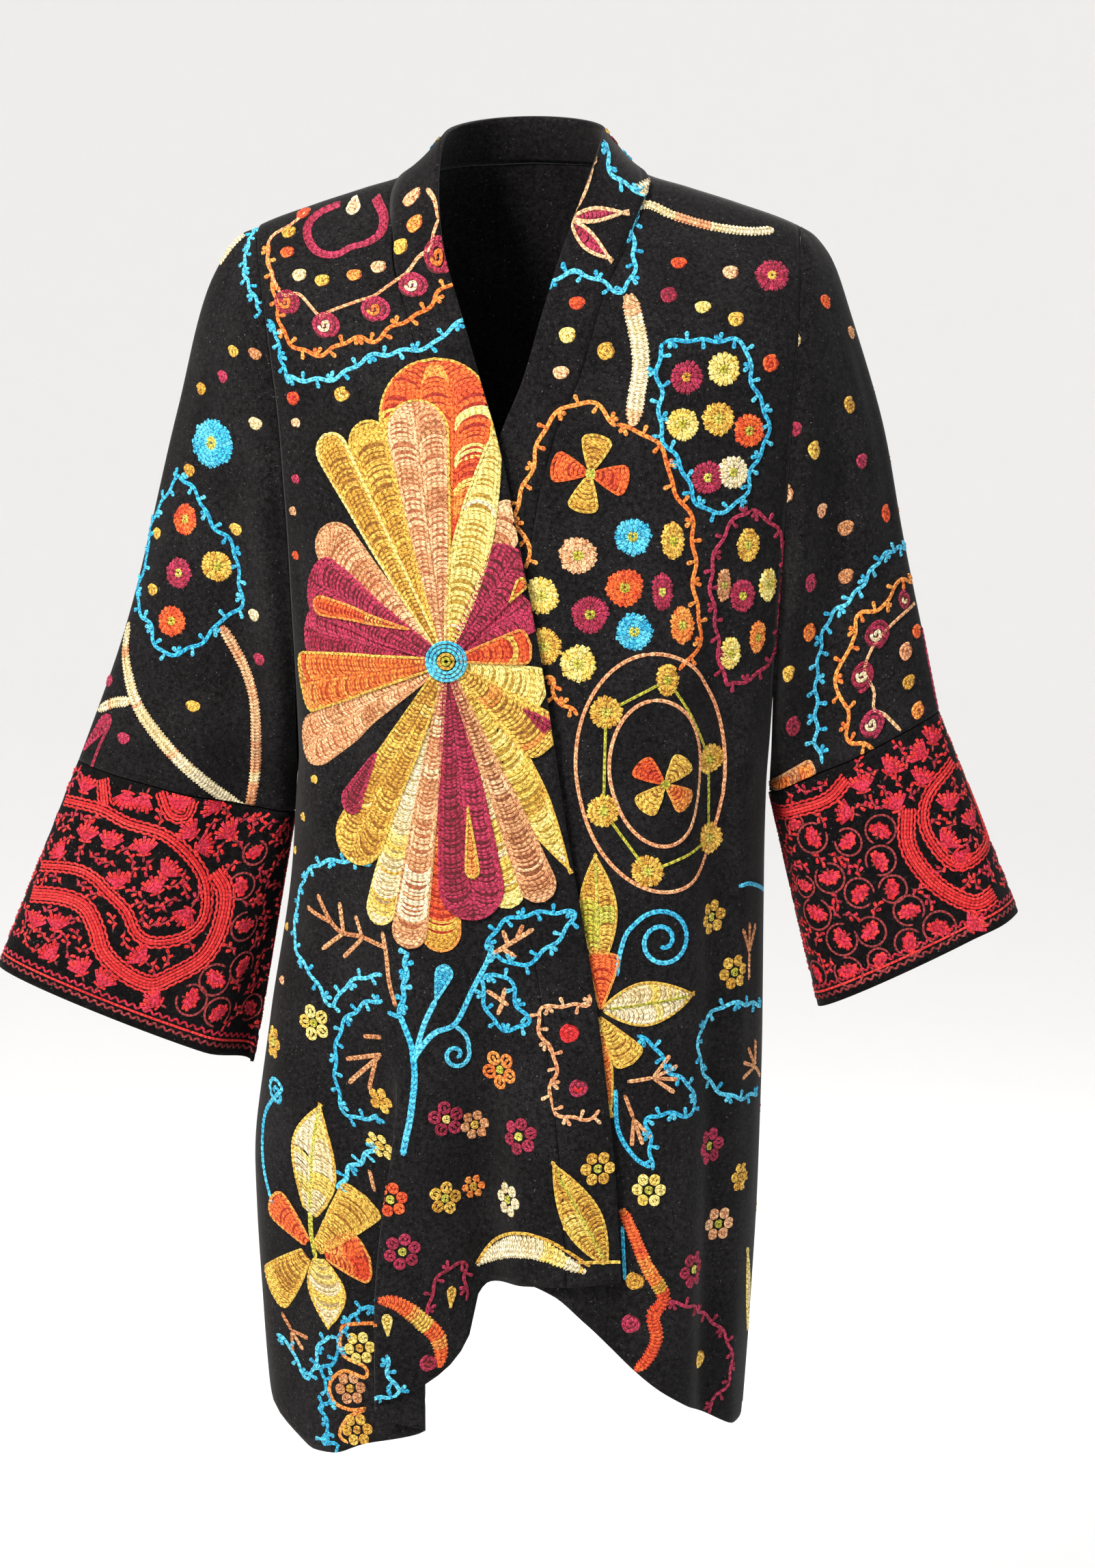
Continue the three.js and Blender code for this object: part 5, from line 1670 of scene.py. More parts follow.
def seen_side(work):
    """1 where the camera sees the half of a tube with positive flat coordinates, -1 elsewhere."""
    piece = work.cloth.pieces[0][0]
    facing = np.einsum("ijk,ijk->ij", piece.normals, camera_eye - piece.points) > 0
    return 1 if piece.s[facing].mean() > 0 else -1


def stitch_sleeve_right(work):
    way, place = work.way, work.place

    thorned(work, way((-190, -40), (-201, -51), (-204, -70), (-198, -88), (-191, -101)), "sky", 3.6, 9)
    arc_band(work, way((-222, -66), (-212, -52), (-204, -44)), 8, ("cream", "peach"))
    wheel(work, place(-228, -199), 20, "sky", "lime", 0.9)
    thorned(work,
            way((-252, -223), (-239, -238), (-227, -260), (-213, -275), (-208, -297), (-207, -322),
                (-221, -330),
                      (-232, -345), (-253, -356), (-269, -353), (-273, -337), (-281, -326), (-283, -309),
                      (-276, -285),
                      (-274, -263), (-265, -243), (-252, -223)), "sky")
    for x, z, yarn in ((-248, -256, "flame"), (-253, -296, "plum"), (-225, -291, "gold"),
            (-258, -332, "flame")):
        wheel(work, place(x, z), 11.5, yarn, "lime")
    arc_band(work,
            way((-290, -333), (-292, -353), (-289, -378), (-281, -400), (-264, -424), (-242, -446),
                (-221, -462),
                       (-201, -476)), 9, ("cream", "cream", "peach"), 2.7, 0.1)
    arc_band(work, way((-288, -392), (-301, -393), (-315, -397)), 8, ("cream", "tan"), 2.7, 0.1)
    arc_band(work,
            way((-221, -336), (-211, -353), (-202, -372), (-197, -393), (-195, -418), (-197, -446),
                (-201, -474)),
             7.5, ("peach", "cream", "tan"), 2.7, 0.1)
    petal(work, place(-325, -429), place(-303, -403), 14, "plum", ("plum",))
    vine(work, way((-320, -444), (-311, -424), (-304, -410)), "plum", 3.4)
    dots = [(-212, -131, "gold"), (-196, -133, "tan"), (-220, -150, "plum"), (-236, -159, "gold"),
            (-196, -185, "cream"),
            (-245, -220, "gold"), (-210, -264, "gold"), (-269, -267, "gold"), (-272, -309, "gold"),
            (-197, -328, "cream"), (-242, -396, "gold"), (-294, -420, "plum"), (-306, -377, "plum"),
            (-193, -361, "plum")]
    for x, z, yarn in dots:
        wheel(work, place(x, z), 6.2, yarn, yarn, 0.9)
    stitch_far_sleeve(work)


def stitch_sleeve_left(work):
    way, place = work.way, work.place

    dots = [(230, -94, "flame"), (205, -121, "cream"), (249, -117, "tan"), (248, -171, "gold"),
            (207, -189, "plum"),
            (222, -205, "gold"), (257, -213, "plum"), (200, -237, "peach"), (227, -250, "peach"),
            (275, -252, "flame"),
            (245, -263, "tan"), (219, -304, "plum"), (245, -299, "tan"), (218, -341, "orange"),
            (202, -372, "gold"),
            (206, -411, "plum"), (298, -340, "flame"), (290, -355, "peach"), (292, -378, "gold"),
            (299, -399, "orange")]
    for k, (x, z, yarn) in enumerate(dots):
        wheel(work, place(x, z), 6.4 + k % 2 * 0.7, yarn, yarn)
    thorned(work,
            way((291, -277), (278, -280), (267, -290), (258, -304), (247, -317), (235, -327), (228, -341),
                      (225, -358), (223, -375), (223, -392), (223, -410), (223, -426), (228, -438)), "sky",
                      3.6, 9)
    thorned(work,
            way((295, -302), (282, -304), (276, -319), (255, -328), (251, -343), (249, -353), (240, -364),
                      (238, -381), (240, -390), (248, -398), (245, -412), (248, -421), (266, -427)), "orange",
                      3.6)
    vine(work,
            way((296, -318), (284, -330), (270, -344), (262, -358), (259, -370), (266, -384), (266, -398),
                (274, -402),
                   (286, -414)), "peach", 3.0)
    for x, z, radius in ((289, -316, 7.5), (268, -342, 11), (257, -373, 10.5), (264, -409, 11)):
        coil(work, place(x, z), radius, "plum", "cream")
    vine(work, way((303, -336), (306, -358), (312, -387), (320, -402)), "plum", 3.4)
    petal(work, place(186, -453), place(222, -444), 19, "tan", ("orange", "tan", "gold"), blunt=0.2)
    stitch_far_sleeve(work)


def stitch_far_sleeve(work):
    """The half of a sleeve that faces away, in the manner of the half that shows."""
    piece = work.cloth.pieces[0][0]
    face = -seen_side(work)
    top, low = piece.t.max(), piece.t.min()
    length = top - low
    wide = piece.s[40].max()

    def place(share, down):
        return np.array([face * wide * share, top - length * down])

    def way(*places):
        return np.array([place(*spot) for spot in places])

    thorned(work,
            way((0.1, 0.1), (0.3, 0.16), (0.45, 0.3), (0.5, 0.44), (0.4, 0.58), (0.22, 0.66), (0.1, 0.74)),
            "sky")
    thorned(work, way((0.14, 0.24), (0.28, 0.3), (0.32, 0.42), (0.24, 0.54), (0.1, 0.6)), "orange")
    arc_band(work, way((0.62, 0.46), (0.58, 0.6), (0.46, 0.74), (0.3, 0.88), (0.18, 0.97)), 9,
            ("cream", "peach"))
    coil(work, place(0.4, 0.16), 17, "plum", "cream")
    for k, (share, down, yarn) in enumerate(((0.2, 0.36, "gold"), (0.18, 0.5, "plum"), (0.6, 0.3, "flame"),
                                             (0.66, 0.16, "straw"), (0.36, 0.76, "gold"),
                                             (0.5, 0.86, "flame"),
                                             (0.7, 0.7, "sky"), (0.14, 0.86, "peach"), (0.8, 0.4, "gold"),
                                             (0.78, 0.86, "plum"))):
        wheel(work, place(share, down), 11 if k < 2 else 8, yarn, "lime" if k < 2 else yarn)


# The back, in flat millimetres: the petals of its own great flower, laid out like the front's.
BACK_CENTRE = (-4, -372)
BACK_PETALS = (
    (0, -166, 72, "gold", ("flame", "gold", "orange", "straw"), 0.42),
    (-46, -190, 30, "straw", ("straw", "cream"), 0.9),
    (44, -192, 30, "straw", ("straw", "cream"), 0.9),
    (78, -216, 32, "gold", ("gold",), 0.5),
    (-80, -214, 36, "tan", ("peach", "cream", "tan"), 0.4),
    (108, -250, 30, "gold", ("gold", "straw"), 0.5),
    (-112, -258, 34, "gold", ("gold",), 0.4),
    (116, -300, 42, "plum", ("plum",), 0.2),
    (-122, -312, 40, "plum", ("plum",), 0.2),
    (118, -354, 36, "gold", ("orange", "flame"), 0.2),
    (-124, -366, 36, "gold", ("orange", "gold"), 0.2),
    (118, -410, 36, "tan", ("peach", "tan"), 0.3),
    (-120, -422, 36, "tan", ("peach", "tan"), 0.3),
    (98, -478, 42, "gold", ("gold", "straw"), 0.4),
    (-100, -488, 42, "gold", ("gold", "straw"), 0.4),
    (66, -542, 26, "straw", ("cream", "straw"), 0.4),
    (-72, -548, 26, "straw", ("cream", "straw"), 0.4),
    (38, -572, 26, "tan", ("peach", "tan"), 0.3),
    (-44, -576, 26, "tan", ("peach", "tan"), 0.3),
    (12, -582, 28, "orange", ("flame", "orange", "gold"), 0.3),
    (-16, -584, 30, "plum", ("plum",), 0.36),
)


def stitch_back(work):
    def place(x, z):
        return np.array([x, z], float)

    def way(*places):
        return np.array(places, float)

    great_flower(work, BACK_CENTRE, BACK_PETALS, (), place)
    for side in (-1, 1):
        def across(*places, side=side):
            return np.array([(x * side, z) for x, z in places], float)

        thorned(work,
                across((8, -70), (34, -84), (62, -82), (92, -100), (120, -104), (146, -128), (168, -132)),
                "sky")
        thorned(work, across((10, -44), (40, -54), (72, -50), (104, -68), (136, -68), (166, -92)), "orange")
        vine(work, across((0, -22), (30, -30), (60, -22), (92, -36), (124, -34), (156, -58)), "peach", 3.2)
        for x, z in ((30, -32), (62, -24), (94, -38), (126, -36)):
            coil(work, place(x * side, z), 11, "plum", "cream")
        arc_band(work, across((136, -162), (150, -190), (152, -220), (146, -250)), 16,
                ("cream", "straw", "peach"))
        thorned(work,
                across((150, -300), (166, -320), (170, -350), (160, -384), (150, -420), (156, -452),
                    (168, -470)),
                "orange" if side > 0 else "plum")
        for k, (x, z, yarn) in enumerate(((120, -190, "gold"), (176, -200, "flame"), (184, -250, "straw"),
                                          (186, -340, "plum"), (188, -392, "gold"), (140, -462, "sky"),
                                          (164, -520, "flame"), (130, -532, "straw"), (100, -150, "peach"),
                                          (70, -136, "gold"), (44, -122, "flame"))):
            wheel(work, place(x * side, z), 13 if 2 < k < 8 else 7, yarn, "lime" if 2 < k < 8 else yarn)
        thorned(work,
                across((60, -596), (86, -576), (116, -580), (136, -604), (134, -640), (112, -662), (84, -656),
                             (64, -634)), "sky")
        sprig(work, place(70 * side, -640), 0.9 if side > 0 else 2.2, 40, "tan", 4, 0.6)
        petal(work, place(110 * side, -742), place(150 * side, -690), 36, "gold", ("cream", "straw"), "lime")
        petal(work, place(110 * side, -742), place(74 * side, -700), 36, "orange", ("flame", "orange"), None,
                0.2)
        petal(work, place(110 * side, -742), place(156 * side, -764), 36, "gold", ("gold",), None, 0.2)
        petal(work, place(110 * side, -742), place(80 * side, -790), 38, "gold", ("straw", "cream"), None,
                0.5)
        petal(work, place(110 * side, -742), place(132 * side, -800), 30, "gold", ("orange", "flame"), None,
                0.4)
        wheel(work, place(110 * side, -742), 6, "lime", "lime")
        curl(work, place(172 * side, -612), 15, "sky", 1.5, 1.0,
                across((176, -700), (186, -660), (184, -634)), 3.8,
             side)
        arc_band(work, across((176, -820), (184, -848), (180, -880), (168, -906)), 16,
                ("flame", "orange", "gold"))
        thorned(work, across((40, -800), (60, -820), (88, -826), (112, -842), (128, -868)), "plum", 3.2, 12)
        for k, (x, z,
                yarn) in enumerate(((26, -640, "plum"), (48, -690, "gold"), (24, -744, "cream"),
                    (48, -776, "plum"),
                                          (180, -756, "orange"), (150, -836, "plum"), (206, -800, "straw"),
                                          (196, -560, "gold"), (204, -720, "plum"), (150, -880, "gold"))):
            blossom(work, place(x * side, z), yarn, "lime", 14, 6, 0.3 + k)
    work.row(smooth_path(way((-2, -796), (0, -740), (2, -690), (-2, -640), (0, -604))), 5.4, "sky")
    for x, z in ((-20, -616), (22, -622)):
        work.row(smooth_path(way((0, -668), (x * 0.5, -650), (x, z - 10))), 4.4, "sky")
        petal(work, place(x, z - 12), place(x * 1.3, z + 12), 10, "sky", ("sky",))


def stitch_neck(work):
    way = work.way

    petal(work, *way((-82, 1), (-63, 26)), 11, "gold", ("gold", "straw"), blunt=0.8)
    vine(work, way((-87, -5), (-76, 5), (-64, 14)), "sky", 3.0)
    piece = work.cloth.pieces[0][0]
    wide, top, low = piece.s.max(), piece.t.max(), piece.t.min()
    s = np.linspace(-wide * 0.97, wide * 0.97, 26)
    middle = (top + low) / 2
    thorned(work, np.stack([s, middle + 5 * np.sin(s / 14)], -1), "sky", 3.2, 11, 5.0)
    for k, x in enumerate(np.linspace(-wide * 0.9, wide * 0.9, 9)):
        wheel(work, (x, middle + (9 if k % 2 else -9)), 5.0, ("gold", "flame", "plum")[k % 3], "straw")


EMBROIDERY = {
    "front_right": stitch_front_right,
    "front_left": stitch_front_left,
    "back": stitch_back,
    "sleeve_right": stitch_sleeve_right,
    "sleeve_left": stitch_sleeve_left,
    "cuff_right": lambda work: stitch_cuff(work, "right"),
    "cuff_left": lambda work: stitch_cuff(work, "left"),
    "neck": stitch_neck,
}


# Each finish's label and colour, and for a yarn the second shade that its dye runs to.
COLOURS = {
    "ground": ("Wool ground", (0.0062, 0.0058, 0.0061)),
    "band": ("Front bands", (0.0058, 0.0054, 0.0057)),
    "cuff": ("Cuff ground", (0.0032, 0.0026, 0.0029)),
    "flame": ("Flame yarn", (0.72, 0.075, 0.018), (0.86, 0.16, 0.030)),
    "orange": ("Orange yarn", (0.80, 0.20, 0.030), (0.86, 0.36, 0.075)),
    "gold": ("Gold yarn", (0.62, 0.33, 0.040), (0.82, 0.54, 0.100)),
    "straw": ("Straw yarn", (0.80, 0.56, 0.100), (0.90, 0.76, 0.270)),
    "cream": ("Cream yarn", (0.82, 0.66, 0.360), (0.86, 0.76, 0.520)),
    "peach": ("Peach yarn", (0.78, 0.36, 0.170), (0.84, 0.54, 0.300)),
    "tan": ("Tan yarn", (0.56, 0.24, 0.095), (0.72, 0.38, 0.180)),
    "plum": ("Plum yarn", (0.33, 0.016, 0.050), (0.46, 0.032, 0.090)),
    "sky": ("Sky-blue yarn", (0.030, 0.42, 0.66), (0.120, 0.60, 0.80)),
    "lime": ("Lime yarn", (0.50, 0.47, 0.045), (0.64, 0.60, 0.110)),
    "red": ("Red yarn", (0.72, 0.018, 0.024), (0.86, 0.050, 0.048)),
    "crimson": ("Crimson yarn", (0.50, 0.010, 0.034), (0.66, 0.030, 0.075)),
    "wine": ("Wine yarn", (0.24, 0.014, 0.024), (0.36, 0.040, 0.045)),
}
YARNS = [name for name, row in COLOURS.items() if len(row) == 3]


def colour_property(key):
    label, value = COLOURS[key][:2]
    return bpy.props.FloatVectorProperty(
        name=label, description=f"{label} colour", subtype="COLOR", size=3, min=0, max=1, default=value
    )


class JacketColours(bpy.types.PropertyGroup):
    __annotations__ = {key: colour_property(key) for key in COLOURS}


class JacketSizes(bpy.types.PropertyGroup):
    wool: bpy.props.FloatProperty(
        name="Wool", description="Thickness of the fronts, back and sleeves", default=0.002, min=0.001,
        max=0.004,
        unit="LENGTH",
    )
    band: bpy.props.FloatProperty(
        name="Bands", description="Thickness of the doubled bands", default=0.003, min=0.001, max=0.005,
        unit="LENGTH"
    )
    cuff: bpy.props.FloatProperty(
        name="Cuffs", description="Thickness of the lined cuffs", default=0.0026, min=0.001, max=0.004,
        unit="LENGTH"
    )
    hem: bpy.props.FloatProperty(
        name="Hem", description="Height of the hem's line of stitches", default=0.014, min=0.004, max=0.03,
        unit="LENGTH",
    )


class NodeBuilder:
    """Adds nodes to a tree and links them as they are added."""

    def __init__(self, tree):
        self.tree = tree
        self.count = 0

    def add(self, kind, links=(), **values):
        node = self.tree.nodes.new(kind)
        node.location = (self.count % 8 * 190 - 900, -(self.count // 8) * 240)
        self.count += 1
        for key, value in values.items():
            setattr(node, key, value)
        for socket, source in dict(links).items():
            if isinstance(source, bpy.types.NodeSocket):
                self.tree.links.new(source, node.inputs[socket])
            else:
                node.inputs[socket].default_value = source
        return node

    def math(self, operation, a, b=0.0, clamp=False):
        return self.add("ShaderNodeMath", {0: a, 1: b}, operation=operation, use_clamp=clamp).outputs[0]

    def noise(self, place, scale, detail=2.0, roughness=0.5):
        links = {"Vector": place, "Scale": scale, "Detail": detail, "Roughness": roughness}
        return self.add("ShaderNodeTexNoise", links).outputs["Fac"]

    def spread(self, value, low, high, to_low=0.0, to_high=1.0):
        links = {"Value": value, "From Min": low, "From Max": high, "To Min": to_low, "To Max": to_high}
        return self.add("ShaderNodeMapRange", links, clamp=True,
                interpolation_type="SMOOTHSTEP").outputs["Result"]

    def blend(self, share, a, b, mode="MIX"):
        node = self.add("ShaderNodeMix", {0: share, 6: a, 7: b}, data_type="RGBA", blend_type=mode)
        return node.outputs[2]


def group_sockets(group, inputs, outputs):
    for name, kind, value in inputs:
        socket = group.interface.new_socket(name, in_out="INPUT", socket_type=kind)
        socket.default_value = value
    for name, kind in outputs:
        group.interface.new_socket(name, in_out="OUTPUT", socket_type=kind)


def wool_group():
    """Brushed wool cloth: a mottled nap with pale lint, and a pressed line of stitches above the hem."""
    group = bpy.data.node_groups.new("Wool cloth", "ShaderNodeTree")
    group_sockets(
        group,
        [("Colour", "NodeSocketColor", (0.015, 0.015, 0.017, 1)), ("Lint", "NodeSocketFloat", 1.0)],
        [("Colour", "NodeSocketColor"), ("Height", "NodeSocketFloat")],
    )
    build = NodeBuilder(group)
    taken = build.add("NodeGroupInput").outputs
    place = build.add("ShaderNodeTexCoord").outputs["Object"]
    fibre = build.noise(place, 1150, 3.0, 0.62)
    nap = build.noise(place, 330, 3.0, 0.6)
    broad = build.noise(place, 17, 2.0)
    lint = build.spread(build.noise(place, 640, 1.0), 0.70, 0.79)
    lint = build.math("MULTIPLY", lint, taken["Lint"])
    grain = build.math("ADD", build.math("MULTIPLY", fibre, 0.55), build.math("MULTIPLY", nap, 0.45))
    light = build.spread(grain, 0.36, 0.68, 0.25, 2.3)
    worn = build.spread(broad, 0.35, 0.7, 0.82, 1.25)
    tone = build.math("MULTIPLY", light, worn)
    shade = build.add("ShaderNodeVectorMath", {0: taken["Colour"], "Scale": tone},
            operation="SCALE").outputs[0]
    colour = build.blend(build.math("MULTIPLY", lint, 0.3), shade, (0.22, 0.21, 0.2, 1))
    rim = build.add("ShaderNodeAttribute", attribute_name="rim").outputs["Fac"]
    off = build.math("ABSOLUTE", build.math("SUBTRACT", rim, 1.0))
    line = build.spread(off, 0.0, 0.13, 1.0, 0.0)
    dash = build.noise(place, 210, 0.0)
    pressed = build.math("MULTIPLY", line, build.spread(dash, 0.4, 0.5, 0.5, 1.0))
    height = build.math("SUBTRACT", build.math("ADD", grain, build.math("MULTIPLY", lint, 0.35)), pressed)
    colour = build.blend(build.math("MULTIPLY", pressed, 0.55), colour, (0.004, 0.004, 0.005, 1))
    build.add("NodeGroupOutput", {"Colour": colour, "Height": height})
    return group


def yarn_group():
    """Chain stitch in dyed yarn: links that point along the row, painted shade in the seam at each link,
    along the row's edges and down its middle, and uneven dye.
    """
    group = bpy.data.node_groups.new("Chain stitch", "ShaderNodeTree")
    group_sockets(
        group,
        [("Colour", "NodeSocketColor", (0.6, 0.3, 0.05, 1)),
            ("Second", "NodeSocketColor", (0.5, 0.2, 0.05, 1))],
        [("Colour", "NodeSocketColor"), ("Height", "NodeSocketFloat")],
    )
    build = NodeBuilder(group)
    taken = build.add("NodeGroupInput").outputs
    place = build.add("ShaderNodeTexCoord").outputs["Object"]
    stitch = build.add("ShaderNodeUVMap", uv_map="stitch").outputs["UV"]
    split = build.add("ShaderNodeSeparateXYZ", {0: stitch}).outputs
    off = build.math("ABSOLUTE", build.math("SUBTRACT", build.math("MULTIPLY", split["Y"], 2.0), 1.0))
    link = build.math("FRACT", build.math("SUBTRACT", split["X"], build.math("MULTIPLY", off, 0.55)))
    joint = build.math("ABSOLUTE", build.math("SUBTRACT", link, 0.5))
    # Masks of the seam between links, the row's middle valley and its edges. They sink the bump, and below
    # they also carry painted shade.
    seam = build.spread(joint, 0.34, 0.5)
    valley = build.spread(off, 0.0, 0.22, 1.0, 0.0)
    edge = build.spread(off, 0.7, 1.0)
    hair = build.noise(place, 1300, 2.0, 0.7)
    strand = build.noise(place, 520, 1.0, 0.5)
    dye = build.noise(place, 75, 2.0)
    shade = build.add("ShaderNodeAttribute", attribute_name="shade").outputs["Fac"]
    mixed = build.math("ADD", build.math("MULTIPLY", shade, 0.75), build.math("MULTIPLY", dye, 0.5))
    mixed = build.spread(build.math("ADD", mixed, build.math("MULTIPLY", strand, 0.3)), 0.4, 1.15)
    colour = build.blend(mixed, taken["Colour"], taken["Second"])
    # Painted shade: the colour is darkened in the seams between links, at the row's edges and down its
    # middle, where shade falls. The hair and strand noise then add random mottling.
    painted_shade_and_mottle = build.math("ADD", build.math("MULTIPLY", seam, 0.5), build.math("MULTIPLY", edge, 0.62))
    painted_shade_and_mottle = build.math("ADD", painted_shade_and_mottle, build.math("MULTIPLY", valley, 0.2))
    painted_shade_and_mottle = build.math("SUBTRACT", 1.0, build.math("MULTIPLY", painted_shade_and_mottle, 1.0, True))
    painted_shade_and_mottle = build.math("MULTIPLY", painted_shade_and_mottle, build.spread(hair, 0.3, 0.7, 0.62, 1.22))
    painted_shade_and_mottle = build.math("MULTIPLY", painted_shade_and_mottle, build.spread(strand, 0.34, 0.66, 0.66, 1.16))
    # Painted shade colour: the yarn colour squared, a deeper and more saturated tone, is blended in where the
    # painted shade is strongest.
    painted_shade_colour = build.blend(1.0, colour, colour, "MULTIPLY")
    tone = build.add("ShaderNodeVectorMath", {0: colour, "Scale": painted_shade_and_mottle}, operation="SCALE").outputs[0]
    painted_crevice_shade = build.add("ShaderNodeVectorMath", {0: painted_shade_colour, "Scale": painted_shade_and_mottle}, operation="SCALE").outputs[0]
    tone = build.blend(build.spread(painted_shade_and_mottle, 0.25, 0.95, 0.85, 0.0), tone, painted_crevice_shade)
    rough = build.math("ADD", build.math("MULTIPLY", hair, 0.5), build.math("MULTIPLY", strand, 0.7))
    sunk = build.math("ADD", build.math("MULTIPLY", seam, 0.8), build.math("MULTIPLY", valley, 0.3))
    height = build.math("SUBTRACT", rough, sunk)
    build.add("NodeGroupOutput", {"Colour": tone, "Height": height})
    return group


def cloth_material(name, colour, group_name, maker, sheen, second=None, roughness=0.95, relief=0.0006,
        gloss=0.05):
    """A cloth or yarn material round one of the shared groups."""
    material = bpy.data.materials.new(name)
    material.use_nodes = True
    material.node_tree.nodes.clear()
    build = NodeBuilder(material.node_tree)
    effect = build.add("ShaderNodeGroup", node_tree=bpy.data.node_groups.get(group_name) or maker())
    effect.inputs["Colour"].default_value = (*colour, 1)
    if second:
        effect.inputs["Second"].default_value = (*second, 1)
    bump = build.add("ShaderNodeBump",
            {"Height": effect.outputs["Height"], "Strength": 0.7, "Distance": relief})
    surface = build.add(
        "ShaderNodeBsdfPrincipled",
        {"Base Color": effect.outputs["Colour"], "Normal": bump.outputs["Normal"], "Roughness": roughness},
    )
    surface.inputs["Sheen Weight"].default_value = sheen
    surface.inputs["Sheen Roughness"].default_value = 0.45
    surface.inputs["Specular IOR Level"].default_value = gloss
    build.add("ShaderNodeOutputMaterial", {"Surface": surface.outputs[0]})
    material.diffuse_color = (*colour, 1)
    return material


def wool_material(kind, colours):
    """The black wool of the body, the bands or the cuffs."""
    name = f"Wool {kind}"
    found = bpy.data.materials.get(name)
    sheen = 0.03 if kind == "cuff" else 0.05
    return found or cloth_material(name, getattr(colours, kind), "Wool cloth", wool_group, sheen)


def yarn_material(yarn, colours):
    name = f"Yarn {yarn}"
    found = bpy.data.materials.get(name)
    second = COLOURS[yarn][2]
    return found or cloth_material(
        name, getattr(colours, yarn), "Chain stitch", yarn_group, 0.03, second, 0.6, 0.0012, 0.22
    )


def add_object(mesh):
    piece = bpy.data.objects.new(mesh.name, mesh)
    bpy.context.scene.collection.objects.link(piece)
    return piece


def flat_size(piece):
    """Width, length and area of a piece's cloth, in metres, measured along its surface."""
    points = piece.points * MM
    across = np.linalg.norm(np.diff(points, axis=1), axis=-1).sum(1).max()
    down = np.linalg.norm(np.diff(points, axis=0), axis=-1).sum(0).max()
    first = np.cross(points[1:, :-1] - points[:-1, :-1], points[:-1, 1:] - points[:-1, :-1])
    second = np.cross(points[:-1, 1:] - points[1:, 1:], points[1:, :-1] - points[1:, 1:])
    area = (np.linalg.norm(first, axis=-1).sum() + np.linalg.norm(second, axis=-1).sum()) / 2
    return float(across), float(down), float(min(area, across * down))


def add_cloth(name, kind, thickness, hemmed=False):
    """The thin shell of one cut piece, in place of its solid."""
    scene = bpy.context.scene
    piece = PIECES[name]
    rows, columns = piece.points.shape[:2]
    mesh = bpy.data.meshes.new(f"cloth_{name}")
    bm = bmesh.new()
    bmesh.ops.create_grid(bm, x_segments=columns - 1, y_segments=rows - 1, size=0.5)
    rim = bm.verts.layers.float.new("rim")
    down = np.linalg.norm(np.diff(piece.points, axis=0), axis=-1)
    left_to_hem = np.concatenate([np.cumsum(down[::-1], axis=0)[::-1], np.zeros((1, columns))]) * MM
    hem_line = scene.jacket_sizes.hem
    for vert in bm.verts:
        i = round((vert.co.x + 0.5) * (columns - 1))
        j = round((vert.co.y + 0.5) * (rows - 1))
        vert.co = Vector(piece.points[j, i] * MM)
        vert[rim] = left_to_hem[j, i] / hem_line if hemmed else FAR_FROM_HEM
    bmesh.ops.remove_doubles(bm, verts=bm.verts[:], dist=1e-7)
    middle = bm.faces[:][len(bm.faces) // 2]
    near = np.linalg.norm(piece.points * MM - np.array(middle.calc_center_median()), axis=-1).argmin()
    if Vector(piece.normals.reshape(-1, 3)[near]).dot(middle.normal) < 0:
        bmesh.ops.reverse_faces(bm, faces=bm.faces[:])
    bm.to_mesh(mesh)
    bm.free()
    mesh.shade_smooth()
    cloth = add_object(mesh)
    mesh.materials.append(wool_material(kind, scene.jacket_colours))
    wall = cloth.modifiers.new("Thickness", "SOLIDIFY")
    wall.thickness = thickness
    wall.offset = -1
    wall.use_even_offset = False
    wall.use_rim = True
    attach(cloth, "root")
    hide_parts(name)
    width, length, area = flat_size(piece)


def add_embroidery(name):
    """All the stitches of one piece as one mesh."""
    scene = bpy.context.scene
    work = Stitching(CLOTHS[name])
    EMBROIDERY[name](work)
    used = {part[-1] for part in work.parts}
    yarns = [yarn for yarn in YARNS if yarn in used]
    mesh = work.build(f"embroidery_{name}", yarns)
    for yarn in yarns:
        mesh.materials.append(yarn_material(yarn, scene.jacket_colours))
    stitches = add_object(mesh)
    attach(stitches, "root")


class JACKET_OT_fronts(bpy.types.Operator):
    """Add both fronts with their bands"""

    bl_idname = "jacket.fronts"
    bl_label = "Fronts and bands"

    def execute(self, context):
        sizes = context.scene.jacket_sizes
        for side in ("right", "left"):
            add_cloth(f"front_{side}", "ground", sizes.wool, True)
            add_cloth(f"band_{side}", "band", sizes.band, True)
        return {"FINISHED"}


class JACKET_OT_back(bpy.types.Operator):
    """Add the back and the band round the neck"""

    bl_idname = "jacket.back"
    bl_label = "Back and neck band"

    def execute(self, context):
        sizes = context.scene.jacket_sizes
        add_cloth("back", "ground", sizes.wool, True)
        add_cloth("band_neck", "band", sizes.band)
        return {"FINISHED"}


class JACKET_OT_sleeves(bpy.types.Operator):
    """Add both sleeves"""

    bl_idname = "jacket.sleeves"
    bl_label = "Sleeves"

    def execute(self, context):
        for side in ("right", "left"):
            add_cloth(f"sleeve_{side}", "ground", context.scene.jacket_sizes.wool)
        return {"FINISHED"}


class JACKET_OT_cuffs(bpy.types.Operator):
    """Add both flared cuffs"""

    bl_idname = "jacket.cuffs"
    bl_label = "Cuffs"

    def execute(self, context):
        for side in ("right", "left"):
            add_cloth(f"cuff_{side}", "cuff", context.scene.jacket_sizes.cuff, True)
        return {"FINISHED"}


class JACKET_OT_embroidery(bpy.types.Operator):
    """Add the chain-stitch embroidery of every piece"""

    bl_idname = "jacket.embroidery"
    bl_label = "Embroidery"

    def execute(self, context):
        for name in EMBROIDERY:
            add_embroidery(name)
        return {"FINISHED"}


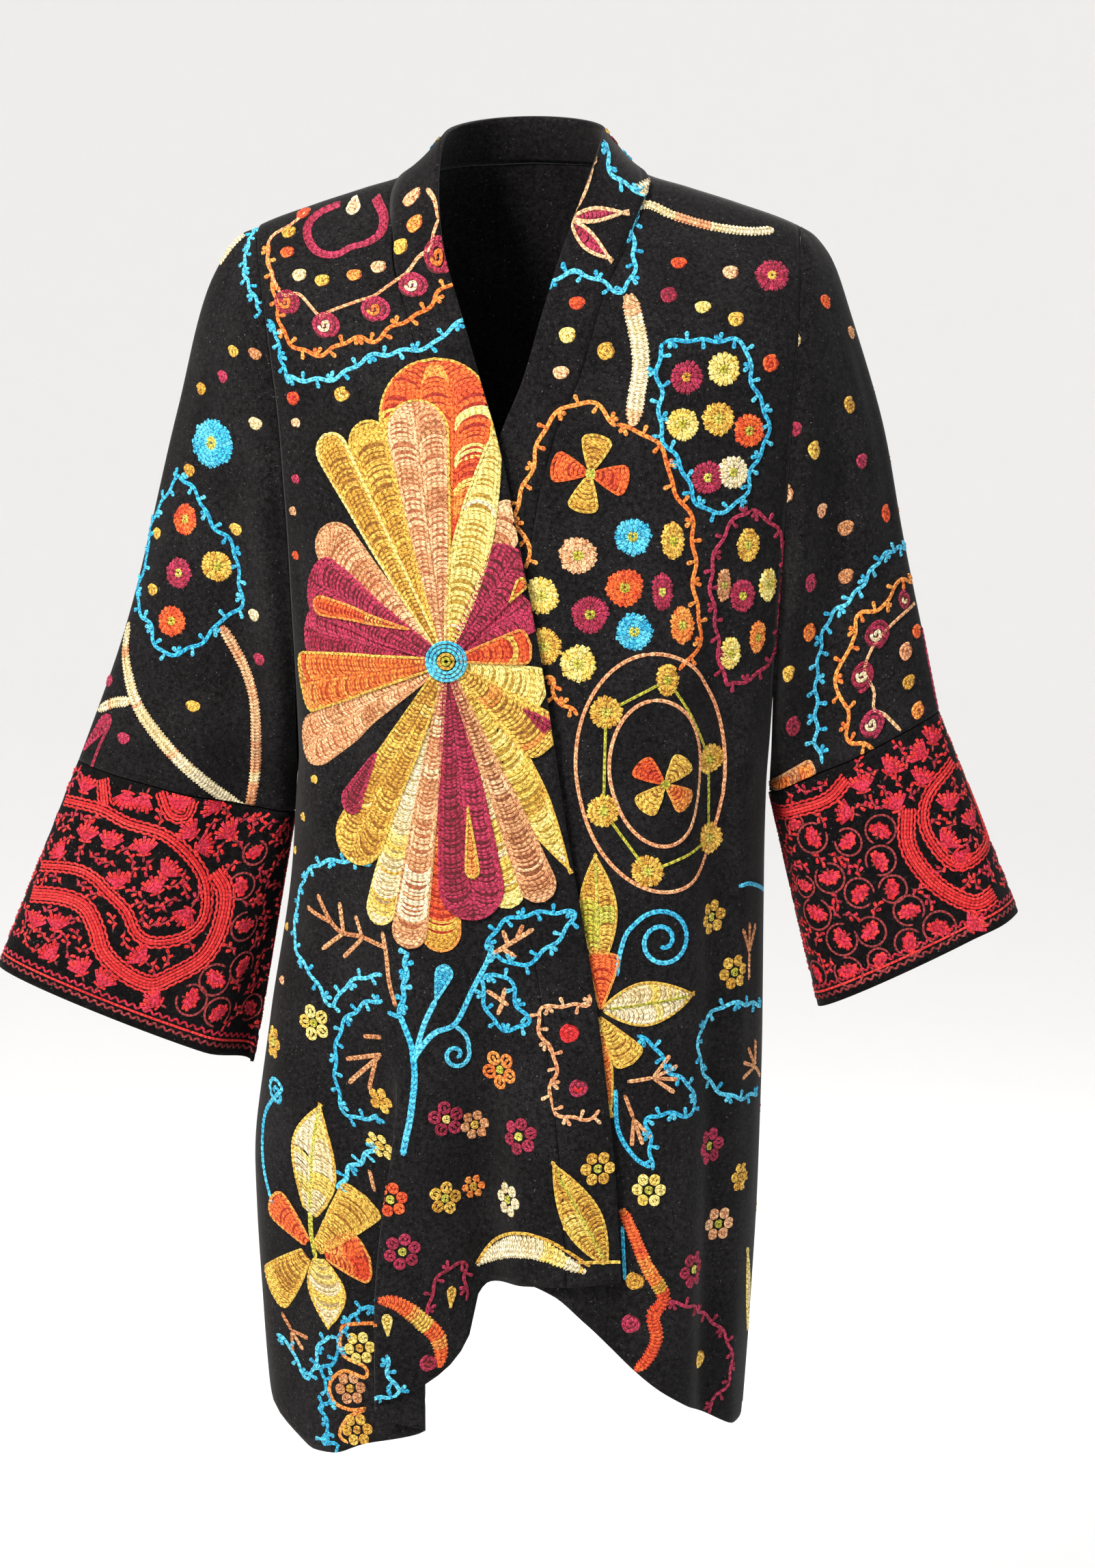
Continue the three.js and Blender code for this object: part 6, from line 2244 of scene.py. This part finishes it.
def add_lamp(name, energy, size, place, aim, colour=(1, 1, 1)):
    light = bpy.data.lights.new(name, "AREA")
    light.energy = energy
    light.shape = "RECTANGLE"
    light.size, light.size_y = size
    light.color = colour
    lamp = bpy.data.objects.new(name, light)
    bpy.context.scene.collection.objects.link(lamp)
    lamp.location = place
    lamp.rotation_euler = (Vector(aim) - Vector(place)).to_track_quat("-Z", "Y").to_euler()


class JACKET_OT_stage(bpy.types.Operator):
    """Add the pale floor and backdrop, the lights and the camera"""

    bl_idname = "jacket.stage"
    bl_label = "Stage"

    def execute(self, context):
        scene = context.scene
        floor_z = -1.5
        mesh = bpy.data.meshes.new("backdrop")
        bm = bmesh.new()
        flat_reach, bend, wall = 3.2, 3.4, 1.0
        profile = [(0.0, floor_z), (flat_reach, floor_z)]
        for k in range(1, 13):
            turn = k / 12 * math.pi / 2
            profile.append((flat_reach + bend * math.sin(turn), floor_z + bend * (1 - math.cos(turn))))
        profile.append((flat_reach + bend, floor_z + bend + wall))
        verts = [bm.verts.new((r, 0, z)) for r, z in profile]
        edges = [bm.edges.new(pair) for pair in zip(verts, verts[1:])]
        bmesh.ops.spin(bm, geom=verts + edges, axis=(0, 0, 1), cent=(0, 0, 0), angle=2 * math.pi, steps=64)
        bmesh.ops.remove_doubles(bm, verts=bm.verts[:], dist=1e-4)
        bmesh.ops.recalc_face_normals(bm, faces=bm.faces[:])
        bm.to_mesh(mesh)
        bm.free()
        mesh.shade_smooth()
        backdrop = add_object(mesh)
        paint = bpy.data.materials.new("Backdrop")
        paint.use_nodes = True
        paint.node_tree.nodes["Principled BSDF"].inputs["Base Color"].default_value = (0.86, 0.86, 0.86, 1)
        paint.node_tree.nodes["Principled BSDF"].inputs["Roughness"].default_value = 0.9
        mesh.materials.append(paint)
        world = bpy.data.worlds.new("Studio")
        world.use_nodes = True
        world.node_tree.nodes["Background"].inputs["Color"].default_value = (1, 1, 1, 1)
        world.node_tree.nodes["Background"].inputs["Strength"].default_value = 0.7
        scene.world = world
        scene.view_settings.view_transform = "Standard"
        add_lamp("Key", 185, (0.8, 0.8), (-1.3, -2.0, 1.7), (0, 0, -0.45), (1, 0.96, 0.9))
        add_lamp("Fill", 22, (1.6, 1.6), (2.0, -2.0, 0.3), (0, 0, -0.5), (0.97, 0.98, 1))
        add_lamp("Rim", 50, (2.2, 1.0), (0.4, 2.0, 1.5), (0, 0, -0.3))
        camera = bpy.data.cameras.new("Camera")
        camera.lens = CAMERA_LENS
        camera.sensor_width = 36
        camera.clip_end = 60
        viewer = bpy.data.objects.new("Camera", camera)
        scene.collection.objects.link(viewer)
        viewer.location = Vector(camera_eye * MM)
        viewer.rotation_euler = Vector(-camera_back).to_track_quat("-Z", "Y").to_euler()
        scene.camera = viewer
        return {"FINISHED"}


OPERATORS = (
    JACKET_OT_fronts,
    JACKET_OT_back,
    JACKET_OT_sleeves,
    JACKET_OT_cuffs,
    JACKET_OT_embroidery,
    JACKET_OT_stage,
)


class JACKET_PT_panel(bpy.types.Panel):
    bl_idname = "JACKET_PT_panel"
    bl_label = "Embroidered jacket"
    bl_space_type = "VIEW_3D"
    bl_region_type = "UI"
    bl_category = "Jacket"

    def draw(self, context):
        layout = self.layout
        for key in JacketSizes.__annotations__:
            layout.prop(context.scene.jacket_sizes, key)
        for key in COLOURS:
            layout.prop(context.scene.jacket_colours, key)
        for operator in OPERATORS:
            layout.operator(operator.bl_idname)


CLASSES = (JacketColours, JacketSizes, *OPERATORS, JACKET_PT_panel)


def register():
    for item in CLASSES:
        bpy.utils.register_class(item)
    bpy.types.Scene.jacket_colours = bpy.props.PointerProperty(type=JacketColours)
    bpy.types.Scene.jacket_sizes = bpy.props.PointerProperty(type=JacketSizes)


def unregister():
    del bpy.types.Scene.jacket_sizes
    del bpy.types.Scene.jacket_colours
    for item in reversed(CLASSES):
        bpy.utils.unregister_class(item)


def main():
    register()
    bpy.ops.jacket.fronts()
    bpy.ops.jacket.back()
    bpy.ops.jacket.sleeves()
    bpy.ops.jacket.cuffs()
    bpy.ops.jacket.embroidery()
    bpy.ops.jacket.stage()


if __name__ == "__main__":
    main()
